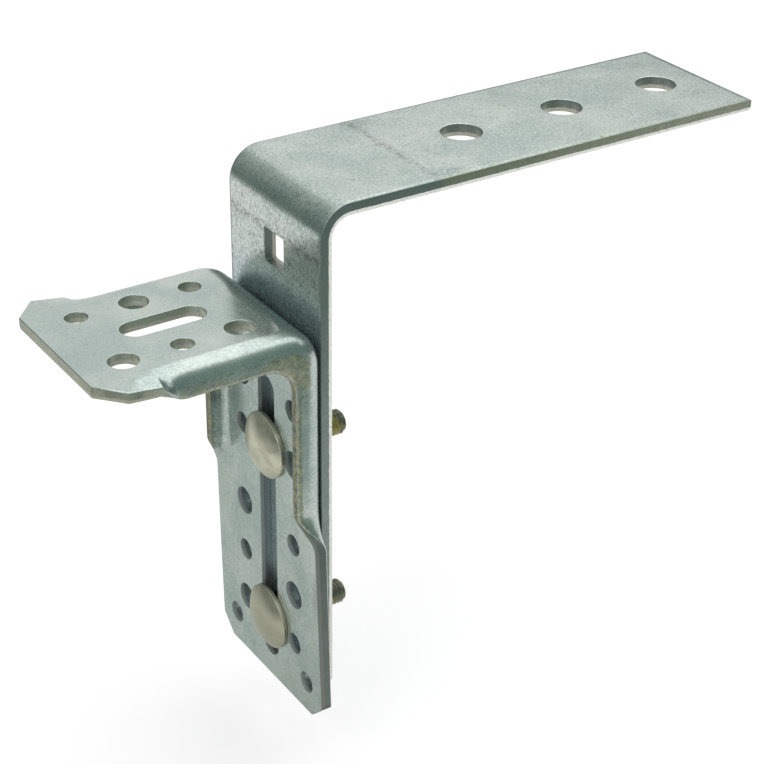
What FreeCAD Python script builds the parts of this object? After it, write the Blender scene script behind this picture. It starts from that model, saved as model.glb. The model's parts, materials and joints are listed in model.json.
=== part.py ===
"""Adjustable window frame bracket in galvanised steel.

A folded flat strip carries a wider folded angle with turned-in edges. Two carriage bolts go through the
angle's slot and the strip's square holes, so the angle can be set higher or lower before it is clamped.

Frame: millimetres, +Z up. The origin is the middle hole of the arm, on the arm's top face. The arm runs
along X, the strip's leg hangs down at its -X end, and the angle's plate points to -X.
"""
import FreeCAD, Part
import math
import os

import Sketcher

# Driving sizes: alias, value in millimetres or degrees, what it is.
SIZES = [
    ("strip_width", 50, "strip, across Y"),
    ("strip_thickness", 4, "strip, sheet thickness"),
    ("strip_bend_radius", 6, "strip, inside radius of the fold"),
    ("strip_edge_break", 0.4, "strip, corner taken off the long edges"),
    ("arm_length", 155, "arm, from the leg's front face to its free end"),
    ("arm_end_roll_length", 2.2, "arm, die roll across the free end, along X"),
    ("arm_end_roll_drop", 0.5, "arm, die roll across the free end, down the end face"),
    ("arm_hole_diameter", 12.5, "arm, fixing holes"),
    ("arm_hole_pitch", 37, "arm, between neighbouring holes"),
    ("arm_hole_end", 17, "arm, last hole to the free end"),
    ("square_hole_first", 22, "strip leg, arm's top face to the first square hole"),
    ("square_hole_pitch", 63, "strip leg, between neighbouring square holes"),
    ("square_hole_clearance", 2.5, "strip leg, square holes over the bolt's neck, on the width"),
    ("strip_leg_end", 12, "strip leg, last square hole to the lower end"),
    ("angle_drop", 34.5, "angle, its plate below the arm's top face"),
    ("angle_width", 61, "angle, width of the flat sheet"),
    ("angle_thickness", 3.5, "angle, sheet thickness"),
    ("angle_bend_radius", 12, "angle, outside radius of the fold"),
    ("lip_inset", 2.75, "angle, flat sheet's edge to the outer face of a lip"),
    ("lip_depth", 9.3, "angle, from the sheet's outer face to the lip's free edge"),
    ("lip_bend_radius", 2.4, "angle, inside radius where a lip turns"),
    ("lip_corner_radius", 10, "angle, free edge of a lip, rounding at the inside of the fold"),
    ("edge_droop", 17, "angle, degrees by which an edge still hangs where its lip has run out"),
    ("plate_length", 68.5, "plate, from the leg's back face to its free end"),
    ("plate_edge", 17, "plate, free end to where its lips have run out"),
    ("plate_run_out", 6.5, "plate, length over which a lip runs out"),
    ("plate_corner_across", 8, "plate, corner cut along Y"),
    ("plate_corner_along", 7, "plate, corner cut along X"),
    ("plate_slot_length", 26, "plate, slot, end to end"),
    ("plate_slot_end", 33, "plate, middle of its slot to the free end"),
    ("plate_row_pitch", 17.75, "plate, between rows of holes"),
    ("plate_row_end", 13.5, "plate, last row of holes to the free end"),
    ("leg_lip", 59.5, "angle leg, plate's top face to the end of the full lip"),
    ("leg_run_out", 13, "angle leg, length over which a lip runs out"),
    ("leg_corner", 6, "angle leg, corner cut each way"),
    ("slot_clearance", 1, "angle, both slots over the bolt, on the width"),
    ("slot_above", 19, "angle leg, upper bolt to the middle of the slot's upper end"),
    ("slot_below", 10, "angle leg, lower bolt to the middle of the slot's lower end"),
    ("angle_leg_end", 8.5, "angle leg, slot's lower end to the leg's lower end"),
    ("leg_row_first", 32, "angle leg, plate's top face to the first of the upper rows"),
    ("leg_row_pitch", 18.3, "angle leg, between rows of one group"),
    ("leg_row_end", 21.4, "angle leg, last of the lower rows to the lower end"),
    ("corner_hole_end", 11, "angle leg, corner holes to the lower end"),
    ("corner_hole_edge", 9, "angle leg, corner holes to the flat sheet's edge"),
    ("hole_edge", 16, "angle, each column of holes to the flat sheet's edge"),
    ("small_hole_diameter", 6.6, "angle, small holes"),
    ("large_hole_diameter", 8.6, "angle, large holes"),
    ("bolt_diameter", 8, "bolt, nominal diameter and width of the square neck"),
    ("thread_undersize", 0.2, "bolt, outside of the thread under the nominal diameter"),
    ("bolt_length", 26, "bolt, under the head to the tip"),
    ("bolt_tip_chamfer", 1, "bolt, chamfer of the tip"),
    ("head_diameter", 21, "bolt, mushroom head"),
    ("head_height", 5, "bolt, mushroom head"),
    ("head_rim", 1.2, "bolt, straight rim of the head"),
    ("neck_length", 5, "bolt, square neck under the head"),
    ("neck_corner_radius", 0.8, "bolt, rounding of the neck's corners"),
    ("washer_diameter", 24, "washer, outside"),
    ("washer_thickness", 2, "washer"),
    ("washer_clearance", 0.6, "washer, bore over the thread, on the diameter"),
    ("nut_across_flats", 13, "nut, across flats"),
    ("nut_height", 6.5, "nut"),
    ("nut_face_diameter", 12, "nut, flat face inside the corner chamfers"),
    ("nut_clearance", 0.2, "nut, bore over the thread, on the diameter"),
]

SHEET = "Sizes"
TOUCH = 1e-4
NUT_CHAMFER_DEG = 30
QUARTER_TURN = math.pi / 2
# Shares of a lip's run-out, and of the drooping edge after it, at which the section is drawn.
LIP_STATIONS = (0, 0.25, 0.5, 0.75, 1)
EDGE_STATIONS = (0, 0.5, 1)
ARM_HOLES = 3
SQUARE_HOLES = 3
# The square holes that hold bolts, counted from the fold.
BOLT_STEPS = {"upper": 1, "lower": 2}
# Rows of holes, from the fold outwards: does the large one of the two lie on the +Y side?
PLATE_ROWS = (False, True, False)
LEG_ROWS_UPPER = (True, False)
LEG_ROWS_LOWER = (True, False, True)


def vec(x, y, z=0.0):
    return FreeCAD.Vector(x, y, z)


def near(a, b):
    return abs(a - b) < TOUCH


def of(alias):
    """Expression for one cell of the sheet."""
    return f"{SHEET}.{alias}"


def square_hole_depth(step):
    """Expression for how far a square hole lies under the arm's top face, counted from the fold."""
    return f"({of('square_hole_first')} + {step} * {of('square_hole_pitch')})"


# Sizes that follow from the sheet, as expressions.
ARM_HOLE_MIDDLE = f"({of('arm_length')} - {of('arm_hole_end')} - {of('arm_hole_pitch')})"
STRIP_LEG = f"({square_hole_depth(SQUARE_HOLES - 1)} + {of('strip_leg_end')})"
SQUARE_HOLE = f"({of('bolt_diameter')} + {of('square_hole_clearance')})"
SLOT_WIDTH = f"({of('bolt_diameter')} + {of('slot_clearance')})"
SLOT_HIGH = f"({of('angle_drop')} - {square_hole_depth(BOLT_STEPS['upper'])} + {of('slot_above')})"
SLOT_LOW = f"({of('angle_drop')} - {square_hole_depth(BOLT_STEPS['lower'])} - {of('slot_below')})"
ANGLE_LEG = f"({of('angle_leg_end')} + {SLOT_WIDTH} / 2 - {SLOT_LOW})"
THREAD = f"({of('bolt_diameter')} - {of('thread_undersize')})"
HOLE_COLUMN = f"({of('angle_width')} / 2 - {of('hole_edge')})"
CORNER_HOLE_COLUMN = f"({of('angle_width')} / 2 - {of('corner_hole_edge')})"


def make_sheet(doc):
    sheet = doc.addObject("Spreadsheet::Sheet", SHEET)
    for row, (alias, size, note) in enumerate(SIZES, start=1):
        sheet.set(f"A{row}", note)
        sheet.set(f"B{row}", str(size))
        sheet.setAlias(f"B{row}", alias)
    doc.recompute()
    return sheet


def value(sheet, expression):
    return float(sheet.evalExpression(expression))


def new_body(doc, label):
    body = doc.addObject("PartDesign::Body", label)
    body.Label = label
    return body


def new_sketch(body, name, role):
    """Sketch on one of the body's own origin planes."""
    sketch = body.newObject("Sketcher::SketchObject", name)
    plane = next(item for item in body.Origin.OriginFeatures if item.Role == role)
    sketch.AttachmentSupport = [(plane, "")]
    sketch.MapMode = "FlatFace"
    return sketch


def bind(sketch, name, expression, kind, *where):
    """Add a dimension to a sketch and tie it to the sheet."""
    index = sketch.addConstraint(Sketcher.Constraint(kind, *where))
    sketch.renameConstraint(index, name)
    sketch.setExpression(f"Constraints.{name}", expression)


def place(body, **axes):
    """Tie the body's place to the sheet, one expression for each axis named."""
    for axis, expression in axes.items():
        body.setExpression(f"Placement.Base.{axis}", expression)


def add_outline(sketch, points):
    """Closed outline of straight lines, each upright or level one held so."""
    first = sketch.GeometryCount
    count = len(points)
    for start, end in zip(points, points[1:] + points[:1]):
        sketch.addGeometry(Part.LineSegment(vec(*start), vec(*end)))
    for i, (start, end) in enumerate(zip(points, points[1:] + points[:1])):
        following = first + (i + 1) % count
        sketch.addConstraint(Sketcher.Constraint("Coincident", first + i, 2, following, 1))
        if start[0] == end[0]:
            sketch.addConstraint(Sketcher.Constraint("Vertical", first + i))
        elif start[1] == end[1]:
            sketch.addConstraint(Sketcher.Constraint("Horizontal", first + i))
    return first


def add_circle(sketch, name, x, y, diameter):
    """Circle whose middle and diameter are expressions; a middle left out lies on that axis."""
    at = [sketch.evalExpression(text) if text else 0.0 for text in (x, y)]
    size = sketch.evalExpression(diameter)
    circle = sketch.addGeometry(Part.Circle(vec(*at), vec(0, 0, 1), size / 2))
    bind(sketch, f"{name}_diameter", diameter, "Diameter", circle, size)
    for text, value, kind, axis, tag in ((x, at[0], "DistanceX", -2, "x"), (y, at[1], "DistanceY", -1, "y")):
        if not text:
            sketch.addConstraint(Sketcher.Constraint("PointOnObject", circle, 3, axis))
        else:
            bind(sketch, f"{name}_{tag}", text, kind, -1, 1, circle, 3, value)


def add_pocket(body, sketch, name, depth, reverse=False):
    """Pocket of the sketch, with a test that it really took material away."""
    body.Document.recompute()
    before = body.Shape.Volume
    pocket = body.newObject("PartDesign::Pocket", name)
    pocket.Profile = sketch
    pocket.Reversed = reverse
    pocket.setExpression("Length", depth)
    body.Document.recompute()
    if body.Shape.Volume > before - 1e-6:
        raise RuntimeError(f"{name} cuts nothing")
    return pocket


def add_row(body, feature, name, axis, length, count, reverse=False):
    """Repeat a feature along one axis of its own sketch."""
    row = body.newObject("PartDesign::LinearPattern", name)
    row.Originals = [feature]
    row.Direction = (feature.Profile[0], [axis])
    row.Reversed = reverse
    row.Occurrences = count
    row.setExpression("Length", length)
    body.Tip = row
    body.Document.recompute()
    return row


def edges_along(shape, test):
    """Names of the edges whose ends all pass the test."""
    names = []
    for i, edge in enumerate(shape.Edges, start=1):
        if all(test(vertex.Point) for vertex in edge.Vertexes):
            names.append(f"Edge{i}")
    return names


def add_fillet(body, name, edges, radius):
    base = body.Tip
    fillet = body.newObject("PartDesign::Fillet", name)
    fillet.Base = (base, edges)
    fillet.setExpression("Radius", radius)
    body.Document.recompute()
    return fillet


def add_chamfer(body, name, edges, size):
    base = body.Tip
    chamfer = body.newObject("PartDesign::Chamfer", name)
    chamfer.Base = (base, edges)
    chamfer.setExpression("Size", size)
    body.Document.recompute()
    return chamfer


def make_arm_strip(doc, sheet):
    """Flat strip folded once: an arm with round holes and a leg with square holes."""
    body = new_body(doc, "arm_strip")
    place(body, x=f"-{ARM_HOLE_MIDDLE}")
    fold_strip(body, sheet)
    punch_arm(body)
    punch_strip_leg(body, sheet)
    roll_strip_edges(body, sheet)
    return body


def fold_strip(body, sheet):
    arm, leg, gauge = sheet.arm_length, value(sheet, STRIP_LEG), sheet.strip_thickness
    sketch = new_sketch(body, "strip_profile", "XZ_Plane")
    add_outline(sketch, [(0, 0), (arm, 0), (arm, -gauge), (gauge, -gauge), (gauge, -leg), (0, -leg)])
    sketch.addConstraint(Sketcher.Constraint("Coincident", 0, 1, -1, 1))
    bind(sketch, "arm", of("arm_length"), "DistanceX", 0, 1, 0, 2, arm)
    bind(sketch, "arm_gauge", of("strip_thickness"), "DistanceY", 1, 2, 1, 1, gauge)
    bind(sketch, "leg_gauge", of("strip_thickness"), "DistanceX", 4, 2, 4, 1, gauge)
    bind(sketch, "leg", STRIP_LEG, "DistanceY", 5, 1, 5, 2, leg)
    pad = body.newObject("PartDesign::Pad", "strip_blank")
    pad.Profile = sketch
    pad.SideType = "Symmetric"
    pad.setExpression("Length", of("strip_width"))
    body.Document.recompute()
    inside = edges_along(body.Tip.Shape, lambda p: near(p.x, gauge) and near(p.z, -gauge))
    add_fillet(body, "fold_inside", inside, of("strip_bend_radius"))
    outside = edges_along(body.Tip.Shape, lambda p: near(p.x, 0) and near(p.z, 0))
    add_fillet(body, "fold_outside", outside, f"{of('strip_bend_radius')} + {of('strip_thickness')}")


def punch_arm(body):
    sketch = new_sketch(body, "arm_hole", "XY_Plane")
    add_circle(sketch, "hole", f"{ARM_HOLE_MIDDLE} - {of('arm_hole_pitch')}", "", of("arm_hole_diameter"))
    pocket = add_pocket(body, sketch, "arm_hole_cut", of("strip_thickness"))
    length = f"{ARM_HOLES - 1} * {of('arm_hole_pitch')}"
    add_row(body, pocket, "arm_holes", "H_Axis", length, ARM_HOLES)


def punch_strip_leg(body, sheet):
    middle, half = -sheet.square_hole_first, value(sheet, SQUARE_HOLE) / 2
    low, high = middle - half, middle + half
    sketch = new_sketch(body, "square_hole", "YZ_Plane")
    add_outline(sketch, [(-half, low), (half, low), (half, high), (-half, high)])
    bind(sketch, "width", SQUARE_HOLE, "DistanceX", 0, 1, 0, 2, 2 * half)
    bind(sketch, "height", SQUARE_HOLE, "DistanceY", 1, 1, 1, 2, 2 * half)
    bind(sketch, "side", f"{SQUARE_HOLE} / 2", "DistanceX", -1, 1, 1, 1, half)
    bind(sketch, "drop", f"{of('square_hole_first')} - {SQUARE_HOLE} / 2", "DistanceY", 1, 2, -1, 1, -high)
    pocket = add_pocket(body, sketch, "square_hole_cut", of("strip_thickness"), reverse=True)
    length = f"{SQUARE_HOLES - 1} * {of('square_hole_pitch')}"
    add_row(body, pocket, "square_holes", "V_Axis", length, SQUARE_HOLES, reverse=True)


def roll_strip_edges(body, sheet):
    """Die roll across the arm's free end, and the corners taken off both long sides."""
    arm, side = sheet.arm_length, sheet.strip_width / 2
    corner = edges_along(body.Tip.Shape, lambda p: near(p.x, arm) and near(p.z, 0))
    end = add_chamfer(body, "arm_end_roll", corner, of("arm_end_roll_length"))
    end.ChamferType = "Two distances"
    end.setExpression("Size2", of("arm_end_roll_drop"))
    body.Document.recompute()
    long_edges = edges_along(
        body.Tip.Shape,
        lambda p: near(abs(p.y), side) and p.x < arm - sheet.arm_end_roll_length / 2,
    )
    add_chamfer(body, "side_rolls", long_edges, of("strip_edge_break"))


def flat_half(sheet):
    """Half width of the angle's flat middle, up to where the lips start to turn."""
    return sheet.angle_width / 2 - sheet.lip_inset - sheet.angle_thickness - sheet.lip_bend_radius


def inward_at(turn):
    """Direction from the sheet's outer face to its inner face where the sheet has turned by an angle."""
    return vec(-math.sin(turn), math.cos(turn))


def lip_edges(sheet, turn):
    """Edges of the sheet's side zone, from its outer face round the free edge to its inner face.

    Points are (across, depth): across from the middle, depth from the outer face inwards. The lip is turned
    inwards by an angle. The turning zone keeps its length along the middle of the sheet at every angle, and
    the free edge is set so that the sheet never bulges past its flat width.
    """
    gauge, flat = sheet.angle_thickness, flat_half(sheet)
    zone = QUARTER_TURN * (sheet.lip_bend_radius + gauge / 2)
    edge_flat = sheet.angle_width / 2 - flat - zone
    edge_lip = sheet.lip_depth - sheet.lip_bend_radius - gauge
    growth = edge_lip - edge_flat + QUARTER_TURN * gauge / 2
    straight = edge_flat + growth * (turn / QUARTER_TURN) ** 2 - turn * gauge / 2
    along = vec(math.cos(turn), math.sin(turn))
    if turn > 0:
        outer = zone / turn + gauge / 2
        middle = vec(flat, outer)
        outer_turn = [middle - inward_at(turn * share) * outer for share in (0, 0.5, 1)]
        inner_turn = [middle - inward_at(turn * share) * (outer - gauge) for share in (1, 0.5, 0)]
    else:
        outer_turn = [vec(flat, 0), vec(flat + zone, 0)]
        inner_turn = [vec(flat + zone, gauge), vec(flat, gauge)]
    tip = outer_turn[-1] + along * straight
    tip_inner = tip + inward_at(turn) * gauge
    return [
        outer_turn,
        [outer_turn[-1], tip],
        [tip, tip_inner],
        [tip_inner, inner_turn[0]],
        inner_turn,
        [inner_turn[-1], outer_turn[0]],
    ]


def side_wire(sheet, turn, hand, to_space):
    """Closed section of one side zone, carried to its place by to_space; hand is 1 or -1."""
    edges = []
    for points in lip_edges(sheet, turn):
        placed = [to_space(hand * p.x, p.y) for p in points]
        curve = Part.LineSegment(*placed) if len(placed) == 2 else Part.Arc(*placed)
        edges.append(curve.toShape())
    return Part.Wire(edges)


def middle_face(sheet, to_space):
    """Section of the flat middle between the two side zones."""
    flat, gauge = flat_half(sheet), sheet.angle_thickness
    corners = [to_space(*corner) for corner in ((-flat, 0), (flat, 0), (flat, gauge), (-flat, gauge))]
    return Part.Face(Part.makePolygon(corners + corners[:1]))


def eased(share):
    """From 1 to 0 along a lip's run-out, with no kink at either end."""
    return 1 - share * share * (3 - 2 * share)


def formed_leaf(sheet, place_at, fold, full, spent, flat, end):
    """One leaf of the angle, given distances along it.

    Full lips go from the fold to full and run out to spent. Their edges droop from there on, less and less,
    and are flat from flat to end.
    """
    droop = math.radians(sheet.edge_droop)

    def run(face, start, stop):
        return face.extrude(place_at(stop)(0, 0) - place_at(start)(0, 0))

    def loft(hand, start, stop, shares, turn_at):
        stations = []
        for share in shares:
            at = place_at(start + share * (stop - start))
            stations.append(side_wire(sheet, turn_at(share), hand, at))
        return Part.makeLoft(stations, True)

    pieces = [run(middle_face(sheet, place_at(fold)), fold, end)]
    for hand in (1, -1):
        lip = Part.Face(side_wire(sheet, QUARTER_TURN, hand, place_at(fold)))
        edge = Part.Face(side_wire(sheet, 0, hand, place_at(flat)))
        pieces += [run(lip, fold, full), run(edge, flat, end)]
        pieces.append(loft(
            hand, full, spent, LIP_STATIONS,
            lambda share: droop + (QUARTER_TURN - droop) * eased(share),
        ))
        pieces.append(loft(hand, spent, flat, EDGE_STATIONS, lambda share: droop * (1 - share)))
    return pieces


def folded_knee(sheet):
    """The fold itself, with the lips carried round its inside."""
    fold = sheet.angle_bend_radius
    start = on_plate(fold)
    faces = [middle_face(sheet, start)]
    faces += [Part.Face(side_wire(sheet, QUARTER_TURN, hand, start)) for hand in (1, -1)]
    return [face.revolve(vec(-fold, 0, -fold), vec(0, 1, 0), 90) for face in faces]


def knee_webs(sheet):
    """Webs in the walls of the two lips, which round the inside corner of their free edges at the fold."""
    depth, fold, gauge = sheet.lip_depth, sheet.angle_bend_radius, sheet.angle_thickness
    far = depth + sheet.lip_corner_radius
    halfway = far - sheet.lip_corner_radius * math.sin(QUARTER_TURN / 2)
    within = (depth + sheet.lip_bend_radius + gauge) / 2
    side = sheet.angle_width / 2 - sheet.lip_inset
    corners = [(far, depth), (far, within), (fold, within), (within, fold), (within, far), (depth, far)]
    webs = []
    for start in (-side, side - gauge):
        points = [vec(-x, start, -z) for x, z in corners]
        rounding = Part.Arc(points[-1], vec(-halfway, start, -halfway), points[0]).toShape()
        outline = Part.Wire([*Part.makePolygon(points).Edges, rounding])
        webs.append(Part.Face(outline).extrude(vec(0, gauge, 0)))
    return webs


def corner_cut(sheet, place_at, end, across, along):
    """Two prisms that take the corners off a leaf's free end, each reaching well past the sheet."""
    side, depth, reach = sheet.angle_width / 2, 2 * sheet.angle_thickness, across + along
    way = place_at(end)(0, depth) - place_at(end)(0, -depth)
    cuts = []
    for hand in (1, -1):
        start = place_at(end - along)(hand * side, -depth)
        stop = place_at(end)(hand * (side - across), -depth)
        corner = place_at(end)(hand * side, -depth)
        line = (stop - start).normalize() * reach
        outwards = (corner * 2 - start - stop).normalize() * reach
        outline = Part.makePolygon([start - line, stop + line, corner + outwards, start - line])
        cuts.append(Part.Face(outline).extrude(way))
    return cuts


def on_plate(distance):
    """Places a section across the plate, at a distance from the leg's back face."""
    return lambda across, depth: vec(-distance, across, -depth)


def on_leg(distance):
    """Places a section across the leg, at a distance below the plate's top face."""
    return lambda across, depth: vec(-depth, across, -distance)


def form_angle(doc, sheet):
    """Sheet blank of the angle, folded and with its edges turned in round the inside of the fold."""
    fold, plate_end, leg_end = sheet.angle_bend_radius, sheet.plate_length, value(sheet, ANGLE_LEG)
    plate_spent, leg_spent = plate_end - sheet.plate_edge, sheet.leg_lip + sheet.leg_run_out
    plate_flat, leg_flat = plate_end - sheet.plate_corner_along, leg_end - sheet.leg_corner
    plate_full = plate_spent - sheet.plate_run_out
    pieces = folded_knee(sheet) + knee_webs(sheet)
    pieces += formed_leaf(sheet, on_plate, fold, plate_full, plate_spent, plate_flat, plate_end)
    pieces += formed_leaf(sheet, on_leg, fold, sheet.leg_lip, leg_spent, leg_flat, leg_end)
    corners = corner_cut(sheet, on_plate, plate_end, sheet.plate_corner_across, sheet.plate_corner_along)
    corners += corner_cut(sheet, on_leg, leg_end, sheet.leg_corner, sheet.leg_corner)
    formed = pieces[0].fuse(pieces[1:]).cut(corners).removeSplitter()
    blank = doc.addObject("Part::Feature", "frame_angle_blank")
    blank.Shape = formed.Solids[0]
    return blank


def add_slot(sketch, name, upright, high, low, width):
    """Round-ended slot on a sketch axis; high and low are expressions for the middles of its ends."""
    ends = [sketch.evalExpression(text) for text in (high, low)]
    radius = sketch.evalExpression(width) / 2
    facing = QUARTER_TURN if upright else 0.0

    def point(along, across):
        return vec(-across, along) if upright else vec(along, across)

    arcs = []
    for middle in ends:
        circle = Part.Circle(point(middle, 0), vec(0, 0, 1), radius)
        arc = Part.ArcOfCircle(circle, facing - QUARTER_TURN, facing + QUARTER_TURN)
        arcs.append(sketch.addGeometry(arc))
        facing += math.pi
    sides = []
    for hand, (start, stop) in ((1, ends), (-1, ends[::-1])):
        line = Part.LineSegment(point(start, hand * radius), point(stop, hand * radius))
        sides.append(sketch.addGeometry(line))
    loop = [arcs[0], sides[0], arcs[1], sides[1]]
    for this, following in zip(loop, loop[1:] + loop[:1]):
        sketch.addConstraint(Sketcher.Constraint("Tangent", this, 2, following, 1))
    sketch.addConstraint(Sketcher.Constraint("Equal", arcs[0], arcs[1]))
    bind(sketch, f"{name}_width", f"{width} / 2", "Radius", arcs[0], radius)
    axis, kind = (-2, "DistanceY") if upright else (-1, "DistanceX")
    for arc, middle, text, tag in zip(arcs, ends, (high, low), ("high", "low")):
        sketch.addConstraint(Sketcher.Constraint("PointOnObject", arc, 3, axis))
        bind(sketch, f"{name}_{tag}", text, kind, -1, 1, arc, 3, middle)


def add_hole_rows(sketch, name, rows, row_at, upright):
    """Rows of two holes, one small and one large, which change sides from row to row."""
    for i, large_on_far_side in enumerate(rows):
        for tag, sign, large in (("far", "", large_on_far_side), ("near", "-", not large_on_far_side)):
            column = f"{sign}{HOLE_COLUMN}"
            spot = (column, row_at(i)) if upright else (row_at(i), column)
            diameter = of("large_hole_diameter" if large else "small_hole_diameter")
            add_circle(sketch, f"{name}_{i}_{tag}", *spot, diameter)


def make_frame_angle(doc, sheet):
    """Folded angle with turned-in lips, slotted and punched in both leaves."""
    blank = form_angle(doc, sheet)
    body = new_body(doc, "frame_angle")
    body.BaseFeature = blank
    place(body, x=f"-{ARM_HOLE_MIDDLE}", z=f"-{of('angle_drop')}")
    punch_plate(body)
    punch_angle_leg(body)
    return body


def rows_to_end(end, to_last, pitch, rows):
    """Function giving each row's place, counted from the fold, when the last is set from the free end."""
    return lambda i: f"-{end} + {of(to_last)} + {len(rows) - 1 - i} * {of(pitch)}"


def punch_plate(body):
    sketch = new_sketch(body, "plate_punching", "XY_Plane")
    end = of("plate_length")
    middle = f"{of('plate_slot_end')} - {end}"
    reach = f"({of('plate_slot_length')} - {SLOT_WIDTH}) / 2"
    add_slot(sketch, "slot", False, f"{middle} + {reach}", f"{middle} - {reach}", SLOT_WIDTH)
    row_at = rows_to_end(end, "plate_row_end", "plate_row_pitch", PLATE_ROWS)
    add_hole_rows(sketch, "row", PLATE_ROWS, row_at, upright=False)
    add_pocket(body, sketch, "plate_cut", of("angle_thickness"))


def punch_angle_leg(body):
    sketch = new_sketch(body, "leg_punching", "YZ_Plane")
    add_slot(sketch, "slot", True, SLOT_HIGH, SLOT_LOW, SLOT_WIDTH)
    add_hole_rows(
        sketch, "upper", LEG_ROWS_UPPER,
        lambda i: f"-{of('leg_row_first')} - {i} * {of('leg_row_pitch')}", upright=True,
    )
    row_at = rows_to_end(ANGLE_LEG, "leg_row_end", "leg_row_pitch", LEG_ROWS_LOWER)
    add_hole_rows(sketch, "lower", LEG_ROWS_LOWER, row_at, upright=True)
    height = f"{of('corner_hole_end')} - {ANGLE_LEG}"
    for tag, sign in (("near", "-"), ("far", "")):
        add_circle(sketch, f"corner_{tag}", f"{sign}{CORNER_HOLE_COLUMN}", height, of("small_hole_diameter"))
    add_pocket(body, sketch, "leg_cut", f"2 * {of('angle_thickness')}")


def place_on_bolt(body, level, seat):
    """Put a body on the axis of one bolt, its origin at an expression along X."""
    place(body, x=f"-{ARM_HOLE_MIDDLE} {seat}", z=f"-{square_hole_depth(BOLT_STEPS[level])}")


def make_bolt(doc, sheet, level):
    """Carriage bolt: mushroom head, square neck and a plain shank at the thread's outside diameter."""
    body = new_body(doc, f"carriage_bolt_{level}")
    body.BaseFeature = head_bolt(doc, sheet, level)
    place_on_bolt(body, level, f"- {of('angle_thickness')}")
    forge_neck(body, sheet)
    tip = edges_along(body.Tip.Shape, lambda p: near(p.x, sheet.bolt_length))
    add_chamfer(body, "tip_chamfer", tip, of("bolt_tip_chamfer"))
    return body


def head_bolt(doc, sheet, level):
    """Round blank: a head that is common to a thick disc and a large ball, on a plain shank."""
    radius, height = sheet.head_diameter / 2, sheet.head_height
    rise = height - sheet.head_rim
    dome = (radius * radius + rise * rise) / (2 * rise)
    disc = Part.makeCylinder(radius, 2 * height, vec(-2 * height, 0), vec(1, 0))
    ball = Part.makeSphere(dome, vec(dome - height, 0))
    shank = Part.makeCylinder(value(sheet, THREAD) / 2, sheet.bolt_length, vec(0, 0), vec(1, 0))
    blank = doc.addObject("Part::Feature", f"bolt_blank_{level}")
    blank.Shape = disc.common(ball).fuse(shank).Solids[0]
    return blank


def add_square(sketch, width):
    """Square about the sketch's origin."""
    half = sketch.evalExpression(width) / 2
    add_outline(sketch, [(-half, -half), (half, -half), (half, half), (-half, half)])
    sketch.addConstraint(Sketcher.Constraint("Symmetric", 0, 1, 1, 2, -1, 1))
    bind(sketch, "width", width, "DistanceX", 0, 1, 0, 2, 2 * half)
    bind(sketch, "height", width, "DistanceY", 1, 1, 1, 2, 2 * half)


def forge_neck(body, sheet):
    half = sheet.bolt_diameter / 2
    sketch = new_sketch(body, "neck_section", "YZ_Plane")
    add_square(sketch, of("bolt_diameter"))
    neck = body.newObject("PartDesign::Pad", "square_neck")
    neck.Profile = sketch
    neck.setExpression("Length", of("neck_length"))
    body.Document.recompute()
    corners = edges_along(body.Tip.Shape, lambda p: near(abs(p.y), half) and near(abs(p.z), half))
    upright = [name for name in corners if edge_runs_along_x(body.Tip.Shape, name)]
    add_fillet(body, "neck_corners", upright, of("neck_corner_radius"))


def edge_runs_along_x(shape, name):
    ends = shape.getElement(name).Vertexes
    return not near(ends[0].X, ends[1].X)


def make_washer(doc, level):
    """Large flat washer behind the strip, wide enough to bridge the square hole."""
    body = new_body(doc, f"washer_{level}")
    place_on_bolt(body, level, f"+ {of('strip_thickness')}")
    sketch = new_sketch(body, "washer_ring", "YZ_Plane")
    add_circle(sketch, "outside", "", "", of("washer_diameter"))
    add_circle(sketch, "bore", "", "", f"{THREAD} + {of('washer_clearance')}")
    pad = body.newObject("PartDesign::Pad", "washer_disc")
    pad.Profile = sketch
    pad.setExpression("Length", of("washer_thickness"))
    body.Document.recompute()
    return body


def make_nut(doc, sheet, level):
    """Plain hexagon nut, its corners turned down at the outer face."""
    body = new_body(doc, f"hex_nut_{level}")
    place_on_bolt(body, level, f"+ {of('strip_thickness')} + {of('washer_thickness')}")
    sketch = new_sketch(body, "nut_hexagon", "YZ_Plane")
    add_hexagon(sketch, of("nut_across_flats"))
    pad = body.newObject("PartDesign::Pad", "nut_blank")
    pad.Profile = sketch
    pad.setExpression("Length", of("nut_height"))
    body.Document.recompute()
    bore = new_sketch(body, "nut_bore", "YZ_Plane")
    add_circle(bore, "bore", "", "", f"{THREAD} + {of('nut_clearance')}")
    add_pocket(body, bore, "nut_bore_cut", of("nut_height"), reverse=True)
    turn_nut_corners(body, sheet)
    return body


def add_hexagon(sketch, across_flats):
    """Hexagon about the sketch's origin, with two corners on its level axis."""
    radius = sketch.evalExpression(across_flats) / math.sqrt(3)
    corners = [(radius * math.cos(i * math.pi / 3), radius * math.sin(i * math.pi / 3)) for i in range(6)]
    for start, end in zip(corners, corners[1:] + corners[:1]):
        sketch.addGeometry(Part.LineSegment(vec(*start), vec(*end)))
    ring = sketch.addGeometry(Part.Circle(vec(0, 0), vec(0, 0, 1), radius), True)
    sketch.addConstraint(Sketcher.Constraint("Coincident", ring, 3, -1, 1))
    for side in range(6):
        sketch.addConstraint(Sketcher.Constraint("Coincident", side, 2, (side + 1) % 6, 1))
        sketch.addConstraint(Sketcher.Constraint("PointOnObject", side, 1, ring))
    for side in range(1, 6):
        sketch.addConstraint(Sketcher.Constraint("Equal", 0, side))
    sketch.addConstraint(Sketcher.Constraint("PointOnObject", 0, 1, -1))
    bind(sketch, "flats", across_flats, "DistanceY", 4, 1, 1, 1, radius * math.sqrt(3))


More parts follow.
